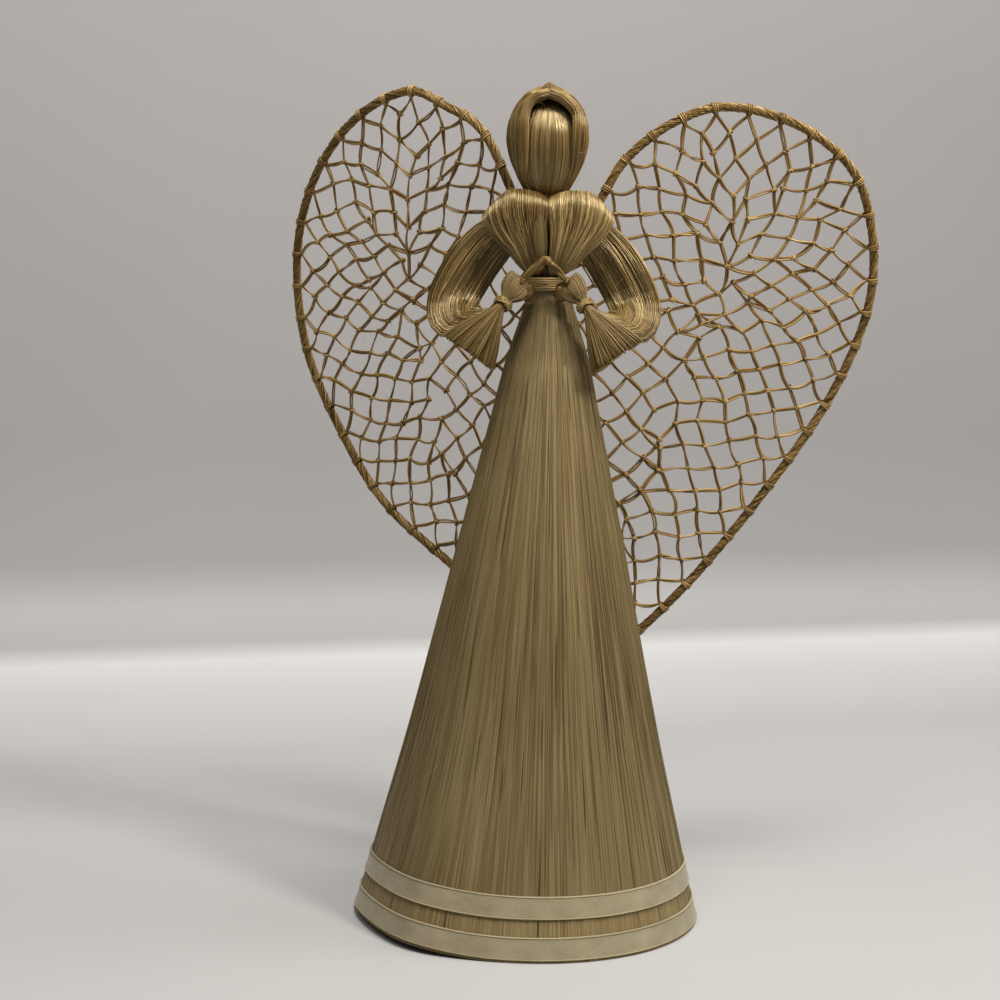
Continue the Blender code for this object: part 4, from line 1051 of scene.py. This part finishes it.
def settled(knots, pairs, anchors):
    """The knots once their strands have pulled each other nearly even; the anchors stay."""
    rest = MESH_SIDE * rng.uniform(0.82, 1.16, (len(pairs), 1))
    for _ in range(PULL_ROUNDS):
        run = knots[pairs[:, 1]] - knots[pairs[:, 0]]
        length = np.maximum(np.linalg.norm(run, axis=1, keepdims=True), 0.5)
        pull = run * (length - rest) / length * PULL_SHARE
        move = np.zeros_like(knots)
        np.add.at(move, pairs[:, 0], pull)
        np.add.at(move, pairs[:, 1], -pull)
        move[:anchors] = 0
        knots = knots + move
    return knots


def net_strands(heap, first, second, normal):
    """Two-ply strands between the first and second knots, which bow and sag a little."""
    count, steps = len(first), 7
    t = np.linspace(0, 1, steps)[None, :, None]
    run = second - first
    length = np.linalg.norm(run, axis=1)[:, None, None]
    aside = unit(np.cross(run, normal))[:, None]
    bow = rng.normal(0.0, 0.045, (count, 1, 1)) * length
    sag = np.array([0, 0, -1]) * np.abs(rng.normal(0.01, 0.03, (count, 1, 1))) * length
    middle = first[:, None] + run[:, None] * t + (aside * bow + sag) * (4 * t * (1 - t))
    twist = rng.normal(0, 0.5, (count, 1)) + t[..., 0] * rng.normal(0, 1.6, (count, 1))
    gap = 0.3 * MM * (0.7 + 0.45 * np.sin(np.pi * t)) * rng.uniform(0.6, 1.4, (count, 1, 1))
    apart = (aside * np.cos(twist)[..., None] + normal * np.sin(twist)[..., None]) * gap
    thick = girths(0.41, count, 0.75, 1.2)
    outward = np.broadcast_to(normal, middle.shape)
    heap.strands(middle + apart, outward, thick, 4)
    heap.strands(middle - apart, outward, thick, 4)


def net(word, side, place, normal, outline):
    """The knotted net: its strands, a knot where they meet, and lashings on the frame."""
    heap = Heap()
    anchors, inward, flat, pairs, joined = net_knots(outline, ANCHORS[side])
    lift = rng.normal(0, 0.3, (len(flat), 1)) * MM
    lift[:len(anchors)] = 0
    knots = place(flat) + normal * lift
    net_strands(heap, knots[pairs[:, 0]], knots[pairs[:, 1]], normal)
    inner = knots[len(anchors):]
    tie_knots(heap, inner, normal)
    seam_thread(heap, knots[joined], normal)
    lash(heap, place, normal, anchors, inward)
    whiskers(heap, inner[rng.integers(0, len(inner), 60)], 7, 0.05, 1)
    whiskers(heap, inner[rng.integers(0, len(inner), 30)], 2.4, 0.16)
    whiskers(heap, knots[rng.choice(joined, 30)], 3.5, 0.14)
    heap.piece("wing_netting_" + word, [TWINE, WHISKER], "wing_net_" + word)


def seam_thread(heap, joined, normal):
    """Extra hitches and short doubled threads where the net's rows were drawn together."""
    tie_knots(heap, joined + normal * 0.4 * MM, normal)
    order = joined[np.argsort(joined[:, 2])]
    gaps = np.linalg.norm(np.diff(order, axis=0), axis=1)
    for k in np.flatnonzero((gaps > 3 * MM) & (gaps < 9 * MM)):
        path = smooth_path(np.stack([order[k], (order[k] + order[k + 1]) / 2 + rng.normal(0, 0.5 * MM, 3),
                                     order[k + 1]]), 10)
        heap.strands(path[None], np.broadcast_to(normal, path[None].shape), 0.34 * MM, 5)


def tie_knots(heap, spots, normal):
    """A small tight hitch of twine at each knot."""
    count, steps = len(spots), 10
    turn = np.linspace(0, 2 * np.pi * 1.3, steps)[None, :, None] + rng.uniform(0, 6.3, (count, 1, 1))
    lean = rng.uniform(0, np.pi, (count, 1, 1))
    out = unit(np.cross(normal, [0, 1, 0.2]))
    up = np.cross(normal, out)
    axis = out * np.cos(lean) + up * np.sin(lean)
    over = np.broadcast_to(normal, axis.shape)
    size = 0.78 * MM * rng.uniform(0.8, 1.3, (count, 1, 1))
    paths = spots[:, None] + (axis * np.cos(turn) + over * np.sin(turn)) * size
    paths = paths + np.cross(axis, over) * 0.45 * MM * (np.linspace(-1, 1, steps)[None, :, None])
    heap.strands(paths, paths - spots[:, None], 0.5 * MM, 4)


def lash(heap, place, normal, anchors, inward):
    """Turns of twine round the frame at each anchor, drawn together at the net's side."""
    turns = 3
    ahead = np.stack([inward[:, 1], -inward[:, 0]], axis=1)
    origin = place(np.zeros(2))
    t = np.linspace(0, 1, 40)[:, None]
    paths = []
    for middle, inner, along in zip(place(anchors), unit(place(inward) - origin), unit(place(ahead) - origin)):
        turn = t * turns * 2 * np.pi + rng.uniform(-0.4, 0.4)
        near = np.clip(np.cos(turn), 0, 1)
        reach = (FRAME_RADIUS + 0.2 + 0.5 * near ** 3) * MM
        skew = ((t - 0.5) * 2.3 + rng.normal(0, 0.15)) * MM * (1 - 0.55 * near)
        paths.append(middle + (inner * np.cos(turn) + normal * np.sin(turn)) * reach + along * skew)
    paths = np.array(paths)
    heap.strands(paths, paths - paths.mean(axis=1, keepdims=True), 0.31 * MM, 4)


def wing(word, side, outline, sweep):
    """One wing: its bound loop and its net."""
    place, normal = wing_place(side, sweep)
    outline = [(out * REACH[side], up) for out, up in outline]
    bound_frame(word, place, normal, outline)
    net(word, side, place, normal, outline)


def taut_outline(circles, z):
    """The loop drawn round circles of (x, y, radius) at a height."""
    turn = around(24)
    away = np.hstack([np.cos(turn), np.sin(turn)])
    reach = [away @ np.array(circle[:2]) + circle[2] for circle in circles]
    best = np.argmax(reach, axis=0)
    spots = [(*(np.array(circles[b][:2]) + away[k] * circles[b][2]), z) for k, b in enumerate(best)]
    return at(spots)


def waist_thread():
    """The thread round the skirt's collar and the wing roots."""
    roots = [(side * WING_ROOT, WING_BACK, FRAME_RADIUS + 1.2) for side in (-1, 1)]
    tie("waist_thread", THREAD, "waist_tie", taut_outline([(0, 0, 7.55)] + roots, WAIST), 6, 0.37, 0.12)


def root_lashing():
    """The tie low on the wing roots."""
    low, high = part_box("wing_tie_lower")
    middle = (low + high) / 2
    roots = [(side * WING_ROOT, (middle.y - AXIS.y) / MM, FRAME_RADIUS + 0.75) for side in (-1, 1)]
    tie("wing_root_lashing", TWINE, "wing_tie_lower", taut_outline(roots, middle.z / MM), 3, 0.3, 0.2)


# Camera, lights and setting

WALL_BEND, BEND_RADIUS, WALL_TURN = 0.49, 0.05, math.radians(18.8)
TABLE_NEAR, WALL_HIGH, SETTING_HALF = -1.6, 1.8, 2

# The cloth's colours, by how far along it they lie: back over the table and then up the wall, in metres. They are
# painted light and shade: the table brightens towards the bend, the bend is brightest, and the wall darkens
# upwards.
CLOTH_START = 0.2
CLOTH_PAINTED_LIGHT_AND_SHADE = [(0.2, (0.365, 0.362, 0.355)), (0.46, (0.39, 0.387, 0.38)), (0.6, (0.53, 0.527, 0.52)),
                 (0.69, (0.65, 0.648, 0.64)), (0.72, (0.36, 0.353, 0.348)), (0.86, (0.285, 0.273, 0.269))]

FIGURE = (AXIS.x, AXIS.y, 0.16)

# Each lamp's name, place, aim, size, power and colour.
LAMPS = [
    ("overhead", (0.02, -0.34, 1.15), FIGURE, 0.35, 12, (1, 0.98, 0.94)),
    ("left_lamp", (-0.42, -0.65, 1.0), FIGURE, 0.25, 1.8, (1, 0.97, 0.92)),
    ("right_lamp", (0.58, -0.5, 0.95), FIGURE, 0.18, 8.5, (1, 0.97, 0.92)),
    ("back_lamp", (0.8, 0.15, 1.1), (0.5, 0.5, 0), 0.6, 6.5, (1, 0.98, 0.96)),
]
WORLD_COLOUR, WORLD_STRENGTH = (0.97, 0.98, 1, 1), 0.19


def pale_cloth():
    """The cloth's finish: painted light and shade across the table and wall, brightest at the bend, and faint
    clouds.
    """
    made, tree, shader = tree_of("pale_table")
    place = tree.nodes.new("ShaderNodeTexCoord").outputs["Object"]
    onward = tree.nodes.new("ShaderNodeVectorMath")
    onward.operation = "DOT_PRODUCT"
    onward.inputs[1].default_value = (-math.sin(WALL_TURN), math.cos(WALL_TURN), 1)
    tree.links.new(place, onward.inputs[0])
    shifted = tree.nodes.new("ShaderNodeMath")
    shifted.inputs[1].default_value = CLOTH_START
    tree.links.new(onward.outputs["Value"], shifted.inputs[0])
    # Painted light and shade along the cloth.
    colour = ramp(tree, shifted.outputs["Value"], CLOTH_PAINTED_LIGHT_AND_SHADE)
    cloud = ramp(tree, noise(tree, place, (4, 4, 4)), [(0.3, grey(0.95)), (0.7, grey(1.0))])
    tree.links.new(shaded(tree, colour, cloud), shader.inputs["Base Color"])
    put(shader, {"Roughness": 0.6})
    return made


def setting():
    """A pale table whose cloth bends up into a wall; the wall's darker tone is painted shade."""
    arc = np.linspace(0, math.pi / 2, 12)
    depth = np.concatenate([[TABLE_NEAR], WALL_BEND + BEND_RADIUS * np.sin(arc), [WALL_BEND + BEND_RADIUS]])
    height = np.concatenate([[0], BEND_RADIUS * (1 - np.cos(arc)), [WALL_HIGH]])
    across = np.linspace(-SETTING_HALF, SETTING_HALF, 3)[:, None]
    grid = np.stack([across * math.cos(WALL_TURN) - depth * math.sin(WALL_TURN),
                     across * math.sin(WALL_TURN) + depth * math.cos(WALL_TURN), height + 0 * across], axis=-1)
    heap = Heap()
    heap.surface(grid, height, across)
    mesh = bpy.data.meshes.new("backdrop")
    mesh.from_pydata(heap.spots[0].tolist(), [], heap.faces[0].tolist())
    mesh.shade_smooth()
    mesh.materials.append(pale_cloth())
    obj = shown("backdrop", mesh)


def area_light(name, place, aim, size, power, colour):
    """A square lamp at a place in metres that faces another."""
    data = bpy.data.lights.new(name, "AREA")
    data.size = size
    data.energy = power
    data.color = colour
    obj = shown(name, data)
    obj.location = place
    obj.rotation_euler = (Vector(aim) - Vector(place)).to_track_quat("-Z", "Y").to_euler()


def lights():
    """Soft lamps overhead, to the left, to the right and over the back of the table, and a pale world."""
    for lamp in LAMPS:
        area_light(*lamp)
    world = bpy.data.worlds.new("studio")
    world.use_nodes = True
    put(world.node_tree.nodes["Background"], {"Color": WORLD_COLOUR, "Strength": WORLD_STRENGTH})
    bpy.context.scene.world = world


def camera():
    """The photograph's view: a little above the waist, looking slightly down, with a slight roll."""
    data = bpy.data.cameras.new("camera")
    data.sensor_width = SENSOR
    data.lens = CAMERA_FOCAL_PIXELS * SENSOR / PICTURE_PIXELS
    obj = shown("camera", data)
    forward = Vector((0, math.cos(CAMERA_PITCH), -math.sin(CAMERA_PITCH)))
    up = Vector((0, math.sin(CAMERA_PITCH), math.cos(CAMERA_PITCH)))
    right = Vector((1, 0, 0))
    tilted_right = right * math.cos(CAMERA_ROLL) + up * math.sin(CAMERA_ROLL)
    tilted_up = up * math.cos(CAMERA_ROLL) - right * math.sin(CAMERA_ROLL)
    turn = Matrix((tilted_right, tilted_up, -forward)).transposed()
    obj.matrix_world = Matrix.Translation(Vector(at(CAMERA_PLACE))) @ turn.to_4x4()
    bpy.context.scene.camera = obj


camera()
lights()
setting()
skirt()
ribbon("hem_ribbon_lower", "ribbon_lower")
ribbon("hem_ribbon_upper", "ribbon_upper")
head()
neck_thread()
hair()
hair_knot()
waist_thread()
root_lashing()
for word, side in (("left", -1), ("right", 1)):
    chest(word, side)
    arm(word, side)
    sleeve(word, side)
    hand(word, side)
    wrist_thread(word, side)
    glue(word, side)
strap()
wing("left", -1, LEFT_OUTLINE, LEFT_SWEEP)
wing("right", 1, RIGHT_OUTLINE, RIGHT_SWEEP)

bpy.context.scene.view_settings.view_transform = "Standard"
